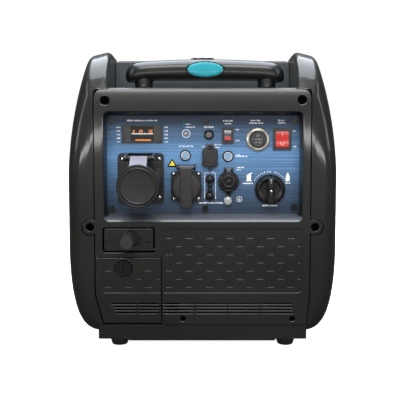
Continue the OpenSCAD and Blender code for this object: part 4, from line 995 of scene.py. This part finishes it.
def rocker_marks():
    """Red lower part of the economy rocker and the two moulded signs on the power rocker."""
    y = PANEL + 0.9

    def tilt(obj, z):
        """Follows the rest tilt of a rocker about its pivot."""
        turn = math.radians(-7)
        for v in obj.data.vertices:
            dy = v.co.y - y * MM
            dz = v.co.z - z * MM
            v.co.y = y * MM + dy * math.cos(turn) - dz * math.sin(turn)
            v.co.z = z * MM + dy * math.sin(turn) + dz * math.cos(turn)
        return obj

    low = tilt(block("economy_red_part", (36.6, y - 5.0, 345.6), (46.4, y - 3.4, 351.6), 0.5), 353.3)
    finish_mesh(low, "red", "economy_switch")
    signs = [plate("sign", circle(131, 340.2, 3.0, 24), [circle(131, 340.2, 2.2, 24)[::-1]],
                   y - 4.9, y - 4.2, 0.1),
             plate("sign", rect(130.5, 350.2, 131.5, 356.6), [], y - 4.9, y - 4.2, 0.1)]
    for sign in signs:
        tilt(sign, 347.2)
    finish_mesh(joined("power_signs", signs), "pink_print", "power_switch")


# ---- carry handles ----
GRIP_TOP = 478.5
GRIP_FOOT = 442.5
GRIP_HALF = 131
GRIP_MID = 4
GRIP_DEPTH = 19
GRIP_LINE = (bezier((0, GRIP_FOOT + 9), (1, GRIP_TOP - 9), (14, GRIP_TOP - 4), (40, GRIP_TOP - 3), 14)
             + [(70, GRIP_TOP - 1.4), (100, GRIP_TOP - 0.4), (GRIP_HALF, GRIP_TOP)])
GRIP_BELLY = (bezier((0, GRIP_FOOT + 7), (1, GRIP_FOOT - 7), (12, GRIP_FOOT - 4), (34, GRIP_FOOT), 14)
              + [(60, GRIP_FOOT + 0.5), (GRIP_HALF, GRIP_FOOT + 0.8)])
LEGS = (-97, 106)


def handle(y):
    """A soft-edged grip with rounded ends, on two flared legs."""
    steps = [0.02, 0.4, 1.2, 2.5, 4.5, 7, 10, 14, 19, 25, 33, 45, 60, 80, 105]
    stations = [d - GRIP_HALF for d in steps] + [0] + [GRIP_HALF - d for d in reversed(steps)]
    count = 36
    verts = []
    for x in stations:
        d = GRIP_HALF - abs(x)
        top = along(GRIP_LINE, d)
        low = along(GRIP_BELLY, d)
        deep = GRIP_DEPTH * math.sqrt(max(0.003, 1 - max(0.0, (26 - d) / 26) ** 2))
        for k in range(count):
            a = math.tau * k / count
            c, t = math.cos(a), math.sin(a)
            verts.append((GRIP_MID + x, y + deep * math.copysign(abs(c) ** 0.8, c),
                          (top + low) / 2 + (top - low) / 2 * math.copysign(abs(t) ** 0.8, t)))
    n = len(stations)
    faces = [(k * count + i, k * count + (i + 1) % count, (k + 1) * count + (i + 1) % count,
              (k + 1) * count + i) for k in range(n - 1) for i in range(count)]
    faces += [tuple(range(count))[::-1], tuple((n - 1) * count + i for i in range(count))]
    parts = [mesh_object("grip", verts, faces)]
    for x in LEGS:
        levels = [(17.5, 406.2), (15.4, 409), (14.6, 414), (14.6, 434), (15.4, 441), (16, 447)]
        verts = [(x + r * math.cos(math.tau * k / 32), y + r * math.sin(math.tau * k / 32), z)
                 for r, z in levels for k in range(32)]
        faces = [(m * 32 + k, m * 32 + (k + 1) % 32, (m + 1) * 32 + (k + 1) % 32, (m + 1) * 32 + k)
                 for m in range(len(levels) - 1) for k in range(32)]
        parts.append(mesh_object("leg", verts, faces))
    return joined("handle_look", parts)


def badge_look():
    """Domed oval badge in a black rim."""
    x, z = 4.5, 462
    y = edge("handle_badge", 1, 0)
    dome = turned("badge_dome", x, z, rounds([(0.01, y + 0.5), (14, y + 0.7), (24, y + 1.2), (29, y + 2.0),
                                              (30, y + 3.2)], 1.2), 80, 0.41)
    finish_mesh(dome, "teal", "case", "handle_badge")
    rim = turned("badge_rim", x, z, rounds([(30, y + 3.2), (30.4, y + 1.4), (31.6, y + 1.0), (32.6, y + 2.0),
                                            (32.6, y + 10)], 0.5), 80, 0.41)
    finish_mesh(rim, "gloss", "case", "handle_badge")


# ---- stage ----
def area(name, place, aim, size, power, colour=(1, 1, 1)):
    data = bpy.data.lights.new(name, "AREA")
    data.shape = "RECTANGLE"
    data.size, data.size_y = size
    data.energy = power
    data.color = colour
    lamp = bpy.data.objects.new(name, data)
    bpy.context.collection.objects.link(lamp)
    lamp.location = place
    direction = Vector(aim) - Vector(place)
    lamp.rotation_euler = direction.to_track_quat("-Z", "Y").to_euler()
    return lamp


def glowing_white(name):
    mat = surface(name, (0.8, 0.8, 0.8), 0.8, spread=0.0)
    shader = mat.node_tree.nodes["Principled BSDF"]
    shader.inputs["Emission Color"].default_value = (1, 1, 1, 1)
    shader.inputs["Emission Strength"].default_value = 0.95
    return mat


def stage():
    world = bpy.data.worlds.new("studio")
    world.use_nodes = True
    world.node_tree.nodes["Background"].inputs["Color"].default_value = (1, 1, 1, 1)
    world.node_tree.nodes["Background"].inputs["Strength"].default_value = 0.10
    bpy.context.scene.world = world
    white = glowing_white("studio white")
    far, high, n = 14000, 9000, 48
    around = [(far * math.cos(math.tau * k / n), far * math.sin(math.tau * k / n)) for k in range(n)]
    floor = mesh_object("floor", [(x, y, 0) for x, y in around], [tuple(range(n))], smooth=False)
    wall = mesh_object("backdrop", [(x, y, z) for z in (0, high) for x, y in around],
                       [(k, (k + 1) % n, n + (k + 1) % n, n + k) for k in range(n)], smooth=False)
    for sheet in (floor, wall):
        sheet.data.materials.append(white)
        sheet.visible_diffuse = False
        sheet.visible_glossy = False
    area("top", (0, 0.1, 2.0), (0, 0, 0.3), (2.0, 2.6), 120, (0.86, 0.93, 1.0))
    area("front", (0, -2.6, 2.2), (0, -0.2, 0.3), (2.2, 0.9), 62)
    area("strip", (0, FRONT * MM - EYE_DISTANCE, 0.275), (0, FRONT * MM, 0.34), (2.2, 0.05), 5.2)
    area("left", (-1.9, -1.2, 1.1), (-0.1, -0.2, 0.3), (0.4, 1.5), 8)
    area("right", (1.9, -1.2, 1.1), (0.1, -0.2, 0.3), (0.4, 1.5), 8)


def camera():
    data = bpy.data.cameras.new("camera")
    data.lens = SENSOR * FOCAL_WIDTHS
    data.sensor_width = SENSOR
    data.shift_x = -0.00625
    data.shift_y = -0.1386
    cam = bpy.data.objects.new("camera", data)
    bpy.context.collection.objects.link(cam)
    cam.location = (0, FRONT * MM - EYE_DISTANCE, EYE_HEIGHT)
    cam.rotation_euler = (math.radians(90 - EYE_TILT), 0, 0)
    bpy.context.scene.camera = cam


def main():
    scene = bpy.context.scene
    scene.view_settings.view_transform = "Standard"
    dress_frame()
    finish_mesh(side_cover(1), "cover", "case", "right_cover")
    finish_mesh(side_cover(-1), "cover", "case", "left_cover")
    finish_mesh(fascia(), "cover", "case", "front_fascia")
    finish_mesh(service_door(), "cover", "door", "service_door")
    gas_plate()
    panel_print()
    display_look()
    bright_screws()
    three_phase_lid()
    mains_lid()
    usb_flap()
    parallel_plug_look()
    dc_flap()
    earth_nut()
    fuel_selector()
    panel_rings()
    rocker_marks()
    badge_look()
    for node_name in ("front_handle", "rear_handle"):
        middle = (edge(node_name, 1, 0) + edge(node_name, 1, 1)) / 2
        finish_mesh(handle(middle), "grip", "case", node_name)
    stage()
    camera()


main()
